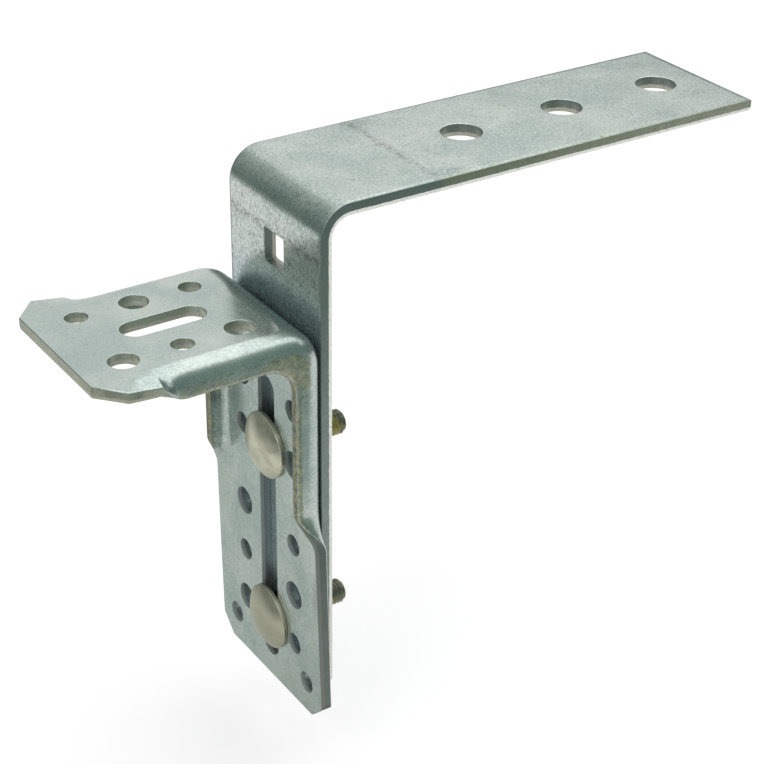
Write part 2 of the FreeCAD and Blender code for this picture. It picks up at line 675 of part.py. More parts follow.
def turn_nut_corners(body, sheet):
    """Groove with a sloping floor at the outer face; it reaches out to a radius well past the corners."""
    face, height, outer = sheet.nut_face_diameter / 2, sheet.nut_height, sheet.nut_across_flats
    run = (outer - face) * math.tan(math.radians(NUT_CHAMFER_DEG))
    run_text = f"({of('nut_across_flats')} - {of('nut_face_diameter')} / 2) * tan({NUT_CHAMFER_DEG} deg)"
    sketch = new_sketch(body, "corner_turning", "XZ_Plane")
    add_outline(sketch, [(height, face), (height, outer), (height - run, outer)])
    bind(sketch, "face", f"{of('nut_face_diameter')} / 2", "DistanceY", -1, 1, 0, 1, face)
    bind(sketch, "outer", of("nut_across_flats"), "DistanceY", -1, 1, 0, 2, outer)
    bind(sketch, "end", of("nut_height"), "DistanceX", -1, 1, 0, 1, height)
    bind(sketch, "run", run_text, "DistanceX", 1, 2, 1, 1, run)
    body.Document.recompute()
    before = body.Shape.Volume
    groove = body.newObject("PartDesign::Groove", "turned_corners")
    groove.Profile = sketch
    groove.ReferenceAxis = (sketch, ["H_Axis"])
    groove.Angle = 360
    body.Document.recompute()
    if body.Shape.Volume > before - 1e-6:
        raise RuntimeError("the nut's corners are not turned down")


def check(doc, bodies):
    """Stop before anything is written if a feature failed or a sub-part is not one sound solid."""
    failed = [item.Name for item in doc.Objects if {"Invalid", "Error"} & set(item.State)]
    if failed:
        raise RuntimeError(f"failed features: {failed}")
    for body in bodies:
        if body.Shape.isNull() or not body.Shape.isValid() or len(body.Shape.Solids) != 1:
            raise RuntimeError(f"{body.Label} is not one sound solid")


def main():
    doc = FreeCAD.newDocument("window_frame_bracket")
    sheet = make_sheet(doc)
    bodies = [make_arm_strip(doc, sheet), make_frame_angle(doc, sheet)]
    for level in BOLT_STEPS:
        bodies += [make_bolt(doc, sheet, level), make_washer(doc, level), make_nut(doc, sheet, level)]
    doc.recompute()
    check(doc, bodies)
    os.makedirs("parts", exist_ok=True)
    for body in bodies:
        body.Shape.exportStep(f"parts/{body.Label}.step")


if __name__ == "__main__":
    main()
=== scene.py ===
import json
import math

import bmesh
import bpy
from mathutils import Matrix, Vector
from mathutils.geometry import delaunay_2d_cdt


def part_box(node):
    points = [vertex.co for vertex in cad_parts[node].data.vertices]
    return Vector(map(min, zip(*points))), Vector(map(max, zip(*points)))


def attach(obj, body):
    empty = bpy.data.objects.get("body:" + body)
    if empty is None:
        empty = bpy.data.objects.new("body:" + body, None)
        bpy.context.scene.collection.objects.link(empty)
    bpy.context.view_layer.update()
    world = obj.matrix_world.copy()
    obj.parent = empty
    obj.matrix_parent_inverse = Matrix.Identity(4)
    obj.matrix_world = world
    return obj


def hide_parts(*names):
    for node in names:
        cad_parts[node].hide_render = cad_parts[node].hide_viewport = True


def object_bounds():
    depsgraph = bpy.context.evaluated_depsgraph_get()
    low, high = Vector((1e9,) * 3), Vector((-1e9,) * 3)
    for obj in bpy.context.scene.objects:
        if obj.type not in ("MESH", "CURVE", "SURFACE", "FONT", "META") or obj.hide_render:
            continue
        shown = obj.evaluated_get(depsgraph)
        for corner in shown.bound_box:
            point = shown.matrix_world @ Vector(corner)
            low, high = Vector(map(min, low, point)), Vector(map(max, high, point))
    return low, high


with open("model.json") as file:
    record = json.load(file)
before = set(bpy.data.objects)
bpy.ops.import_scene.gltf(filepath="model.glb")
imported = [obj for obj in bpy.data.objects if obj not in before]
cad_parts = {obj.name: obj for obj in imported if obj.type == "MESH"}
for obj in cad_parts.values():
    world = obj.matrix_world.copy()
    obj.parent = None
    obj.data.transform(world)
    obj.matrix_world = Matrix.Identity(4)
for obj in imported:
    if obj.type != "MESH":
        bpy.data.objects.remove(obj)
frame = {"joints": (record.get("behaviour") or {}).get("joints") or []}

CAD_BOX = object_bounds()
MM = 0.001
MERGE_DISTANCE = 0.002 * MM

# Bodies of the imported record
STRIP_BODY = "strip_and_bolts"
ANGLE_BODY = "sliding_angle"

# Camera: where it stands, which way it looks, its lean and its lens
CAMERA_PLACE = Vector((-0.34383, -0.41953, 0.21298))
CAMERA_AHEAD = Vector((0.48177, 0.72151, -0.49732))
CAMERA_LEAN = math.radians(-0.79)
CAMERA_LENS = 89.8
CAMERA_SENSOR = 36.0

# Sheets are laid out flat, in millimetres: along the sheet, then across it
QUARTER_TURN = math.pi / 2
FOLD_STEPS = 16
FOLD_COLUMN = 2.5
ROLL_STEPS = 4
HOLE_STEPS = 52
CORNER_TURN_STEPS = 4
CREASE = 0.05
POINT_TOLERANCE = 1e-6
INSIDE_TRIANGLES = 1

# Strip: arm and leg, folded once
STRIP_GAUGE = 4.0
STRIP_FOLD = 10.0
STRIP_EDGE_ROLL = (1.3, 0.25)
# Share of the cut's darker tone laid over the strip's rolled outer edges: painted shade
STRIP_ROLL_SHADE = 0.8
STRIP_TEAR = (0.45, 1.25)
ARM_HOLE_PLACES = (-37.0, 0.0, 37.0)
ARM_HOLE_RADIUS = 6.25
ARM_END_ROLL = (2.2, 0.5)
ARM_END_ROW = 0.55
ARM_END_LAST_ROW = 3.85
SQUARE_HOLE_LEVELS = (-22.0, -85.0, -148.0)
SQUARE_HOLE_HALF = 5.25
SQUARE_HOLE_CORNER = 0.5

# Angle: plate and leg with lips that turn in along both sides and run out
ANGLE_GAUGE = 3.5
ANGLE_FOLD = 12.0
ANGLE_EDGE_ROLL = (0.45, 0.3)
ANGLE_TEAR = (0.2, 1.0)
LIP_EDGE_ROLL = (1.3, 1.1)
LIP_INSET = 2.75
LIP_BEND = 2.4
LIP_DEPTH = 9.3
LIP_CORNER = 10.0
LIP_COLUMNS = 14
LIP_ROW = 1.6
RUN_OUT_ROW = 0.6
DROOP = math.radians(17)
LEAST_TURN = 1e-4
DROOP_ROW = 4.0
PLATE_LIP = 45.0
PLATE_RUN_OUT = 6.5
PLATE_LIP_SHOULDER = 3.0
PLATE_CORNER = (7.0, 8.0)
LEG_LIP = 59.5
LEG_RUN_OUT = 13.0
LEG_CORNER = (6.0, 6.0)
SLOT_RADIUS = 4.5
PLATE_SLOT = (-149.5, -123.5)
LEG_SLOT = (-61.5, -162.5)
SMALL_HOLE = 3.3
LARGE_HOLE = 4.3
HOLE_COLUMN = 14.5
CORNER_HOLES = (-160.0, 21.5)
HOLE_ROLL = (0.4, 0.25)
ANGLE_HOLE_ROLL = (0.22, 0.18)
HOLE_TEAR = (0.2, 1.4)

# Stain of the lips: how strong, and how far it goes from the rim, from the knee and round the bend; along
# the plate's lip walls it is partly stain and partly painted reflection
LIP_STAIN = 0.8
PLATE_LIP_STAIN_AND_REFLECTION = 0.6
LIP_RIM_STAIN = (1.1, 2.3)
KNEE_STAIN = (9.0, 26.0)
LIP_WALL_STAIN_AND_REFLECTION = (0.78, 0.96)

# Place of each row of holes, then the radius of its +Y hole and of its -Y hole
PLATE_ROWS = (
    (-120.5, SMALL_HOLE, LARGE_HOLE), (-138.25, LARGE_HOLE, SMALL_HOLE), (-156.0, SMALL_HOLE, LARGE_HOLE),
)
LEG_ROWS = (
    (-66.5, LARGE_HOLE, SMALL_HOLE), (-84.8, SMALL_HOLE, LARGE_HOLE), (-113.0, LARGE_HOLE, SMALL_HOLE),
    (-131.3, SMALL_HOLE, LARGE_HOLE), (-149.6, LARGE_HOLE, SMALL_HOLE),
)

# Carriage bolts, washers and nuts
COLUMNS = 96
ANGLES = [2 * math.pi * column / COLUMNS for column in range(COLUMNS)]
DOME_STEPS = 14
CORNER_STEPS = 5
HEAD_RIM = 1.2 * MM
HEAD_HEIGHT = 5.0 * MM
SEAT_GAP = 0.02 * MM
HEAD_EDGE_RADIUS = 0.5 * MM
NECK_WIDTH = 8.0 * MM
NECK_LENGTH = 5.0 * MM
NECK_CORNER_RADIUS = 0.8 * MM
NECK_TAPER = 0.6 * MM
THREAD_PITCH = 1.25 * MM
THREAD_CREST_RADIUS = 3.9 * MM
THREAD_ROOT_RADIUS = 3.2 * MM
THREAD_BLANK_RADIUS = 3.55 * MM
THREAD_RUN_OUT = 1.5 * MM
THREAD_SPARE = 2
TIP_RADIUS = 3.0 * MM
NUT_THREAD_GAP = 0.05 * MM
NUT_COUNTERSINK = 0.55 * MM
NUT_FLATS = 13.0 * MM
NUT_FACE_RADIUS = 6.1 * MM
NUT_CORNER_SLOPE = math.tan(math.radians(30))
NUT_EDGE_ROLL = 0.12 * MM
NUT_ROLL_STEPS = 2
NUT_SHARP = math.radians(20)
WASHER_BORE_RADIUS = 4.2 * MM
WASHER_ROLL = 0.45 * MM
WASHER_BURR = 0.12 * MM

# Share of a pitch, and how far from root to crest, at each row of the thread
THREAD_ROWS = ((0.0, 1.0), (0.125, 1.0), (0.4375, 0.06), (0.5625, 0.0), (0.6875, 0.06))


def turned(angle, radius, x):
    """A point at that angle and radius round the X axis."""
    return Vector((x, radius * math.cos(angle), radius * math.sin(angle)))


def ring(x, radius):
    """A closed row of points round the X axis; radius is a number or depends on the angle."""
    if callable(radius):
        return [turned(angle, radius(angle), x) for angle in ANGLES]
    return [turned(angle, radius, x) for angle in ANGLES]


def add_rows(mesh, rows):
    """Joins closed rows of points, one after the other, with four-sided faces."""
    loops = [[mesh.verts.new(point) for point in row] for row in rows]
    for first, second in zip(loops, loops[1:]):
        for column in range(COLUMNS):
            after = (column + 1) % COLUMNS
            mesh.faces.new((first[column], first[after], second[after], second[column]))
    return loops


def add_cap(mesh, loop, centre):
    """Closes a row with a fan round its centre."""
    hub = mesh.verts.new(centre)
    for column in range(COLUMNS):
        mesh.faces.new((loop[column], loop[(column + 1) % COLUMNS], hub))


def add_thread(mesh, start, end, origin, radius_at):
    """A helical surface from start to end; its rows run along the thread, so crests stay clean.

    It is laid out with pitches to spare, which are pushed together at both ends and merged later.
    """
    per_pitch = len(THREAD_ROWS)
    first = math.floor((start - origin) / THREAD_PITCH) - THREAD_SPARE
    pitches = math.ceil((end - start) / THREAD_PITCH) + 2 * THREAD_SPARE
    grid = []
    for column, angle in enumerate(ANGLES):
        lead = origin + THREAD_PITCH * (first + column / COLUMNS)
        points = []
        for turn in range(pitches):
            for share, height in THREAD_ROWS:
                x = min(max(lead + THREAD_PITCH * (turn + share), start), end)
                points.append(mesh.verts.new(turned(angle, radius_at(x, height), x)))
        grid.append(points)
    rows = per_pitch * pitches
    for column in range(COLUMNS):
        shift = per_pitch if column == COLUMNS - 1 else 0
        here = grid[column]
        there = grid[(column + 1) % COLUMNS]
        for row in range(rows - 1 - shift):
            mesh.faces.new((here[row], here[row + 1], there[row + 1 + shift], there[row + shift]))


def rounded(points, radii):
    """An open outline of (x, radius) points with its inner corners turned to arcs."""
    outline = [Vector(points[0])]
    for before, corner, after, radius in zip(points, points[1:], points[2:], radii):
        corner = Vector(corner)
        back = (Vector(before) - corner).normalized()
        ahead = (Vector(after) - corner).normalized()
        half = back.angle(ahead) / 2
        centre = corner + (back + ahead).normalized() * (radius / math.sin(half))
        reach = radius / math.tan(half)
        start = (corner + back * reach - centre).normalized()
        stop = (corner + ahead * reach - centre).normalized()
        for step in range(CORNER_STEPS + 1):
            outline.append(centre + start.slerp(stop, step / CORNER_STEPS) * radius)
    outline.append(Vector(points[-1]))
    return outline


def linked(name, data):
    """A new object with that data, in the scene."""
    made = bpy.data.objects.new(name, data)
    bpy.context.scene.collection.objects.link(made)
    return made


def finished_mesh(mesh, name):
    """Merges seams, drops empty faces, turns the normals out and makes the object."""
    bmesh.ops.remove_doubles(mesh, verts=mesh.verts, dist=MERGE_DISTANCE)
    bmesh.ops.dissolve_degenerate(mesh, edges=mesh.edges, dist=MERGE_DISTANCE)
    bmesh.ops.recalc_face_normals(mesh, faces=mesh.faces)
    data = bpy.data.meshes.new(name)
    mesh.to_mesh(data)
    mesh.free()
    data.shade_smooth()
    return linked(name, data)


def settle(piece, node, body, material):
    """The piece stands for its node, moves with its body and takes its finish."""
    piece.data.materials.append(material)
    piece.modifiers.new("even_normals", "WEIGHTED_NORMAL").keep_sharp = True
    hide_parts(node)
    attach(piece, body)


def eased(value, low, high):
    """0 below low, 1 above high, smooth between."""
    share = min(max((value - low) / (high - low), 0.0), 1.0)
    return share * share * (3 - 2 * share)


def spaced(start, stop, step):
    """Evenly spaced values from start to stop, about step apart."""
    count = max(1, round(abs(stop - start) / step))
    return [start + (stop - start) * i / count for i in range(count + 1)]


def arc(along, across, radius, start, stop, steps):
    """Points of an arc in the flat sheet, from the start angle to the stop angle."""
    angles = [start + (stop - start) * step / steps for step in range(steps + 1)]
    return [Vector((along + radius * math.cos(a), across + radius * math.sin(a))) for a in angles]


def both_sides(near):
    """The rim of a sheet, from its -Y side."""
    return near + [Vector((point.x, -point.y)) for point in reversed(near)]


def round_hole(along, across, radius):
    """A round hole, with the metal on the left of its outline."""
    return arc(along, across, radius, 0, -2 * math.pi, HOLE_STEPS)[:-1]


def slot_hole(first, last, radius):
    """A round-ended slot along the middle of the sheet, from end to end."""
    low, high = sorted((first, last))
    far = arc(high - radius, 0, radius, QUARTER_TURN, -QUARTER_TURN, HOLE_STEPS // 2)
    near = arc(low + radius, 0, radius, -QUARTER_TURN, -3 * QUARTER_TURN, HOLE_STEPS // 2)
    return far + near


def square_hole(along, half, corner):
    """A square hole in the middle of the sheet, with small round corners."""
    outline = []
    for turn, (one, two) in enumerate(((1, 1), (1, -1), (-1, -1), (-1, 1))):
        start = QUARTER_TURN * (1 - turn)
        middle = (along + one * (half - corner), two * (half - corner))
        outline += arc(*middle, corner, start, start - QUARTER_TURN, CORNER_TURN_STEPS)
    return outline


def inset(outline, distances):
    """The outline moved into the metal, on its left, by a distance for each point."""
    moved = []
    count = len(outline)
    for i, point in enumerate(outline):
        before = (point - outline[i - 1]).normalized()
        after = (outline[(i + 1) % count] - point).normalized()
        left = Vector((-before.y - after.y, before.x + after.x)).normalized()
        moved.append(point + left * (distances[i] / left.dot(Vector((-before.y, before.x)))))
    return moved


def cut_edge(gauge, roll, tear, painted_light_share=0.0):
    """Section of a cut edge as (inset, depth, share of the cut's tone), from the outer skin to the inner.

    The edge is rolled over at the outer skin, then smooth, then torn back over the tear's depth;
    the last argument is how far the roll takes on the cut's darker, duller tone before the cut: painted
    shade on the roll.
    """
    back, depth = tear
    wide, deep = roll
    section = []
    for step in range(ROLL_STEPS + 1):
        turn = QUARTER_TURN * step / ROLL_STEPS
        # Over the roll, the cut's tone is painted shade
        bare_cut_and_roll_shade = 1.0 if step == ROLL_STEPS else painted_light_share * step / (ROLL_STEPS - 1)
        section.append((wide * (1 - math.sin(turn)), deep * (1 - math.cos(turn)), bare_cut_and_roll_shade))
    slope = back / depth
    section.append((0, gauge - depth - CREASE, 1))
    section.append((slope * CREASE, gauge - depth + CREASE, 1))
    section.append((back - slope * CREASE, gauge - CREASE, 1))
    section.append((back + CREASE, gauge, 0))
    return section


def filled(outlines, extra):
    """Triangles between the first outline and the holes in it, through all extra points."""
    points = []
    loops = []
    for outline in outlines:
        loops.append(list(range(len(points), len(points) + len(outline))))
        points += outline
    edges = [pair for loop in loops for pair in zip(loop, loop[1:] + loop[:1])]
    rims = [loops[0]] + [loop[::-1] for loop in loops[1:]]
    found = delaunay_2d_cdt(points + extra, edges, rims, INSIDE_TRIANGLES, POINT_TOLERANCE)
    spots, triangles, owners = found[0], found[2], found[5]
    return spots, [triangle for triangle, owner in zip(triangles, owners) if owner == [0]]


def sheet_piece(name, outlines, edge_at, extra, gauge, place, lip_at):
    """A sheet with two skins and cut edges, marked for its finish.

    outlines are the flat sheet's edge and its holes; edge_at(number, point) gives the cut edge there;
    place puts a point of the flat sheet, at a depth under the outer skin, where it is on the object.
    """
    mesh = bmesh.new()
    marks = {key: mesh.verts.layers.float.new(key) for key in ("through", "cut", "hole", "lip")}

    def add(point, depth, bare_cut_and_roll_shade, hole=0.0):
        """A point of the sheet with its marks."""
        vert = mesh.verts.new(place(point.x, point.y, depth) * MM)
        vert[marks["through"]] = depth / gauge
        vert[marks["cut"]] = bare_cut_and_roll_shade
        vert[marks["hole"]] = hole
        vert[marks["lip"]] = lip_at(point.x, point.y)
        return vert

    sections = [[edge_at(i, point) for point in line] for i, line in enumerate(outlines)]
    edges = []
    for line, cuts in zip(outlines, sections):
        edges.append([inset(line, [cut[row][0] for cut in cuts]) for row in range(len(cuts[0]))])
    for row, flip in ((0, False), (-1, True)):
        spots, triangles = filled([edge[row] for edge in edges], extra)
        depth = gauge if flip else 0.0
        verts = [add(spot, depth, 0.0) for spot in spots]
        for triangle in triangles:
            order = triangle[::-1] if flip else triangle
            mesh.faces.new([verts[i] for i in order])
    for number, (edge, cuts) in enumerate(zip(edges, sections)):
        loops = []
        hole = min(number, 1)
        for row, line in enumerate(edge):
            loops.append([add(point, cut[row][1], cut[row][2], hole) for point, cut in zip(line, cuts)])
        for upper, lower in zip(loops, loops[1:]):
            for i in range(len(upper)):
                mesh.faces.new((upper[i - 1], upper[i], lower[i], lower[i - 1]))
    return finished_mesh(mesh, name)


def strip_piece():
    """The strip: three round holes in its arm, three square ones in its leg."""
    low, high = [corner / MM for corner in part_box("arm_strip")]
    side = high.y
    arm = high.x - low.x - STRIP_FOLD
    turn_length = QUARTER_TURN * STRIP_FOLD
    end = arm + turn_length + high.z - low.z - STRIP_FOLD

    def place(along, across, depth):
        """Folded, with the arm's end rolled down."""
        rolled, drop = ARM_END_ROLL
        share = max(0.0, 1 - along / rolled)
        depth += drop * share * share * (1 - depth / STRIP_GAUGE)
        if along <= arm:
            return Vector((high.x - along, across, high.z - depth))
        if along >= arm + turn_length:
            return Vector((low.x + depth, across, high.z - STRIP_FOLD - (along - arm - turn_length)))
        turn = (along - arm) / STRIP_FOLD
        reach = STRIP_FOLD - depth
        middle = Vector((low.x + STRIP_FOLD, across, high.z - STRIP_FOLD))
        return middle + Vector((-math.sin(turn) * reach, 0, math.cos(turn) * reach))

    fold_rows = spaced(arm, arm + turn_length, turn_length / FOLD_STEPS)
    rim = both_sides([Vector((along, -side)) for along in (0, *fold_rows, end)])
    holes = [round_hole(high.x - x, 0, ARM_HOLE_RADIUS) for x in ARM_HOLE_PLACES]
    for level in SQUARE_HOLE_LEVELS:
        along = arm + turn_length + high.z - STRIP_FOLD - level
        holes.append(square_hole(along, SQUARE_HOLE_HALF, SQUARE_HOLE_CORNER))
    columns = spaced(-side, side, FOLD_COLUMN)[1:-1]
    roll_rows = spaced(ARM_END_ROW, ARM_END_LAST_ROW, ARM_END_ROW)
    extra = [Vector((row, column)) for row in roll_rows + fold_rows for column in columns]
    edge = cut_edge(STRIP_GAUGE, STRIP_EDGE_ROLL, STRIP_TEAR, STRIP_ROLL_SHADE)
    punched = cut_edge(STRIP_GAUGE, HOLE_ROLL, HOLE_TEAR)
    return sheet_piece(
        "galvanised_strip", [rim] + holes, lambda i, point: punched if i else edge,
        extra, STRIP_GAUGE, place, lambda along, across: 0.0,
    )


def angle_piece():
    """The angle: plate and leg, slotted and punched, with lips carried round the inside of the fold."""
    low, high = [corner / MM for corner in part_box("frame_angle")]
    side = high.y
    plate = high.x - low.x
    leg = high.z - low.z
    fold_start = plate - ANGLE_FOLD
    fold_end = fold_start + QUARTER_TURN * ANGLE_FOLD
    end = fold_end + leg - ANGLE_FOLD

    # Across the sheet: flat, then the bend's zone, then the lip's edge, which grows as it turns in
    flat = side - LIP_INSET - ANGLE_GAUGE - LIP_BEND
    zone = QUARTER_TURN * (LIP_BEND + ANGLE_GAUGE / 2)
    edge_flat = side - flat - zone
    edge_growth = LIP_DEPTH - LIP_BEND - ANGLE_GAUGE - edge_flat + QUARTER_TURN * ANGLE_GAUGE / 2

    # Along the sheet: where the lips stand full, have run out, and where the edges are flat
    plate_full = plate - PLATE_LIP
    leg_full = fold_end + LEG_LIP - ANGLE_FOLD
    plate_spent = plate_full - PLATE_RUN_OUT
    leg_spent = leg_full + LEG_RUN_OUT
    plate_flat = PLATE_CORNER[0]
    leg_flat = end - LEG_CORNER[0]
    corner_from = fold_start - (LIP_DEPTH + LIP_CORNER - ANGLE_FOLD)
    corner_to = fold_end + (LIP_DEPTH + LIP_CORNER - ANGLE_FOLD)

    def lip_turn(along):
        """How far the lips have turned in; past their run-outs the edges droop less and less."""
        if along < plate_spent:
            return DROOP * min(max((along - plate_flat) / (plate_spent - plate_flat), 0.0), 1.0)
        if along > leg_spent:
            return DROOP * min(max((leg_flat - along) / (leg_flat - leg_spent), 0.0), 1.0)
        rest = max(1 - (along - plate_spent) / (PLATE_RUN_OUT + PLATE_LIP_SHOULDER), 0.0)
        full = (1 - rest * rest) * (1 - eased(along, leg_full, leg_spent))
        return DROOP + (QUARTER_TURN - DROOP) * full

    def half_width(along):
        """From the middle of the sheet to its edge, measured round the turned lip."""
        turn = lip_turn(along)
        growth = edge_growth * (turn / QUARTER_TURN) ** 2
        return flat + zone + edge_flat + growth - turn * ANGLE_GAUGE / 2

    def section(along, across, depth):
        """Across and inwards from the outer face, with the lips turned in."""
        turn = lip_turn(along)
        past = abs(across) - flat
        hand = math.copysign(1, across)
        if past <= 0 or turn < LEAST_TURN:
            return across, depth
        radius = zone / turn + ANGLE_GAUGE / 2
        here = turn * min(past / zone, 1.0)
        out = flat + math.sin(here) * (radius - depth)
        inward = radius - math.cos(here) * (radius - depth)
        beyond = max(past - zone, 0.0)
        return hand * (out + math.cos(turn) * beyond), inward + math.sin(turn) * beyond

    def folded(along, out, inward):
        """A point of the angle, given inwards from its outer face."""
        if along <= fold_start:
            return Vector((low.x + along, out, high.z - inward))
        if along >= fold_end:
            return Vector((high.x - inward, out, high.z - ANGLE_FOLD - (along - fold_end)))
        turn = (along - fold_start) / ANGLE_FOLD
        reach = ANGLE_FOLD - inward
        middle = Vector((high.x - ANGLE_FOLD, out, high.z - ANGLE_FOLD))
        return middle + Vector((math.sin(turn) * reach, 0, math.cos(turn) * reach))

    def place(along, across, depth):
        """Folded, with the lips' free edges rounded off at the inside of the fold."""
        out, inward = section(along, across, depth)
        point = folded(along, out, inward)
        web = (inward - LIP_BEND - ANGLE_GAUGE) / (LIP_DEPTH - LIP_BEND - ANGLE_GAUGE)
        if web <= 0 or not corner_from < along < corner_to:
            return point
        far = LIP_DEPTH + LIP_CORNER
        centre = Vector((high.x - far, out, high.z - far))
        free = folded(along, out, LIP_DEPTH)
        toward = (free - centre).normalized() * LIP_CORNER
        return point.lerp(point + centre + toward - free, web)

    def lip_share(along):
        """1 where the lips stand full, 0 where they have run out."""
        return max((lip_turn(along) - DROOP) / (QUARTER_TURN - DROOP), 0.0)

    def lip_at(along, across):
        """How much the lips are stained: most where they go round the fold, on the leg only at the rim;
        along the plate's lip walls the mark is partly stain and partly painted reflection.
        """
        knee = 1 - eased(abs(along - (fold_start + fold_end) / 2), *KNEE_STAIN)
        # Along the plate's lip walls: partly stain, partly painted reflection of a dark band
        upper = PLATE_LIP_STAIN_AND_REFLECTION * (1 - eased(along, fold_start, fold_end))
        wall = eased((abs(across) - flat) / zone, *LIP_WALL_STAIN_AND_REFLECTION)
        from_edge = half_width(along) - abs(across)
        rim = 1 - eased(from_edge, *LIP_RIM_STAIN)
        return lip_share(along) * max(wall * max(knee, upper), rim * LIP_STAIN)

    fold_rows = spaced(fold_start, fold_end, QUARTER_TURN * ANGLE_FOLD / FOLD_STEPS)
    rows = spaced(plate_flat, plate_spent, DROOP_ROW)[1:-1]
    shoulder = plate_full + PLATE_LIP_SHOULDER
    rows += spaced(plate_spent, shoulder, RUN_OUT_ROW)
    rows += spaced(shoulder, fold_start, LIP_ROW)[1:-1] + fold_rows
    rows += spaced(fold_end, leg_full, LIP_ROW)[1:]
    rows += spaced(leg_full, leg_spent, RUN_OUT_ROW)[1:]
    rows += spaced(leg_spent, leg_flat, DROOP_ROW)[1:-1]
    near = [Vector((0, -side + PLATE_CORNER[1])), Vector((plate_flat, -side))]
    near += [Vector((row, -half_width(row))) for row in rows]
    near += [Vector((leg_flat, -side)), Vector((end, -side + LEG_CORNER[1]))]
    rim = both_sides(near)

    def down(level):
        """Distance along the sheet of a level on the leg."""
        return fold_end + high.z - ANGLE_FOLD - level

    holes = [slot_hole(*(x - low.x for x in PLATE_SLOT), SLOT_RADIUS)]
    holes.append(slot_hole(*(down(level) for level in LEG_SLOT), SLOT_RADIUS))
    spots = [(x - low.x, far, close) for x, far, close in PLATE_ROWS]
    spots += [(down(level), far, close) for level, far, close in LEG_ROWS]
    for along, far, close in spots:
        holes.append(round_hole(along, HOLE_COLUMN, far))
        holes.append(round_hole(along, -HOLE_COLUMN, close))
    for hand in (1, -1):
        holes.append(round_hole(down(CORNER_HOLES[0]), hand * CORNER_HOLES[1], SMALL_HOLE))

    extra = []
    for row in rows:
        reach = half_width(row) - LIP_EDGE_ROLL[0]
        for column in range(LIP_COLUMNS):
            across = flat + (reach - flat) * column / LIP_COLUMNS
            extra += [Vector((row, across)), Vector((row, -across))]
    for row in fold_rows:
        extra += [Vector((row, across)) for across in spaced(-flat, flat, FOLD_COLUMN)[1:-1]]
    punched = cut_edge(ANGLE_GAUGE, ANGLE_HOLE_ROLL, HOLE_TEAR)

    def edge_at(number, point):
        """Punched at the holes; at the rim rolled more where the lips stand."""
        if number:
            return punched
        full = lip_share(point.x)
        roll = [a + (b - a) * full for a, b in zip(ANGLE_EDGE_ROLL, LIP_EDGE_ROLL)]
        return cut_edge(ANGLE_GAUGE, roll, ANGLE_TEAR)

    return sheet_piece("lipped_angle", [rim] + holes, edge_at, extra, ANGLE_GAUGE, place, lip_at)


def square_radius(angle):
    """The distance from the axis to the rounded square of a bolt's neck."""
    half = NECK_WIDTH / 2
    across = abs(math.cos(angle))
    up = abs(math.sin(angle))
    flat = half / max(across, up)
    straight = half - NECK_CORNER_RADIUS
    if flat * min(across, up) <= straight:
        return flat
    middle = straight * (across + up)
    return middle + math.sqrt(middle * middle - 2 * straight * straight + NECK_CORNER_RADIUS ** 2)


def on_axis(mesh, node, name):
    """Finishes a mesh made round the X axis, on the axis of its node."""
    low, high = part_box(node)
    centre = (low + high) / 2
    bmesh.ops.translate(mesh, verts=mesh.verts, vec=(0, centre.y, centre.z))
    return finished_mesh(mesh, name)


def flank_radius(height):
    """Radius of the thread at a height from 0, its root, to 1, its crest."""
    return THREAD_ROOT_RADIUS + height * (THREAD_CREST_RADIUS - THREAD_ROOT_RADIUS)


def thread_origin(node):
    """Where along X a bolt's neck ends and its thread starts."""
    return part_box(node)[0].x + HEAD_HEIGHT - SEAT_GAP + NECK_LENGTH


def bolt_piece(node, name):
    """A carriage bolt: low domed head, square neck, rolled thread and chamfered tip."""
    low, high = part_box(node)
    rim_radius = (high.z - low.z) / 2
    neck_end = thread_origin(node)
    seat = neck_end - NECK_LENGTH
    rim = seat - HEAD_RIM
    rise = rim - low.x
    dome_radius = (rim_radius ** 2 + rise ** 2) / (2 * rise)
    spread = math.asin(rim_radius / dome_radius)
    dome = []
    for step in range(1, DOME_STEPS):
        angle = spread * step / DOME_STEPS
        dome.append((low.x + dome_radius * (1 - math.cos(angle)), dome_radius * math.sin(angle)))
    edge = rounded(
        (dome[-1], (rim, rim_radius), (seat, rim_radius), (seat, NECK_WIDTH)),
        (HEAD_EDGE_RADIUS, HEAD_EDGE_RADIUS / 2),
    )
    rows = [ring(*point) for point in dome + edge[1:]]
    rows += [ring(seat, square_radius), ring(neck_end - NECK_TAPER, square_radius)]
    rows.append(ring(neck_end, THREAD_BLANK_RADIUS))

    def thread_radius(x, height):
        """The thread deepens from the blank at the neck and ends in the tip's chamfer."""
        share = eased(x, neck_end, neck_end + THREAD_RUN_OUT)
        cut = THREAD_BLANK_RADIUS + share * (flank_radius(height) - THREAD_BLANK_RADIUS)
        return min(cut, TIP_RADIUS + high.x - x)

    mesh = bmesh.new()
    loops = add_rows(mesh, rows)
    add_cap(mesh, loops[0], Vector((low.x, 0, 0)))
    add_thread(mesh, neck_end, high.x, neck_end, thread_radius)
    tip = add_rows(mesh, [ring(high.x, TIP_RADIUS), ring(high.x, TIP_RADIUS / 2)])
    add_cap(mesh, tip[-1], Vector((high.x, 0, 0)))
    return on_axis(mesh, node, name)


def hex_radius(angle):
    """The distance from the axis to a nut's flats, with corners on the Y axis."""
    sixth = math.pi / 3
    return NUT_FLATS / 2 / math.cos(angle % sixth - sixth / 2)


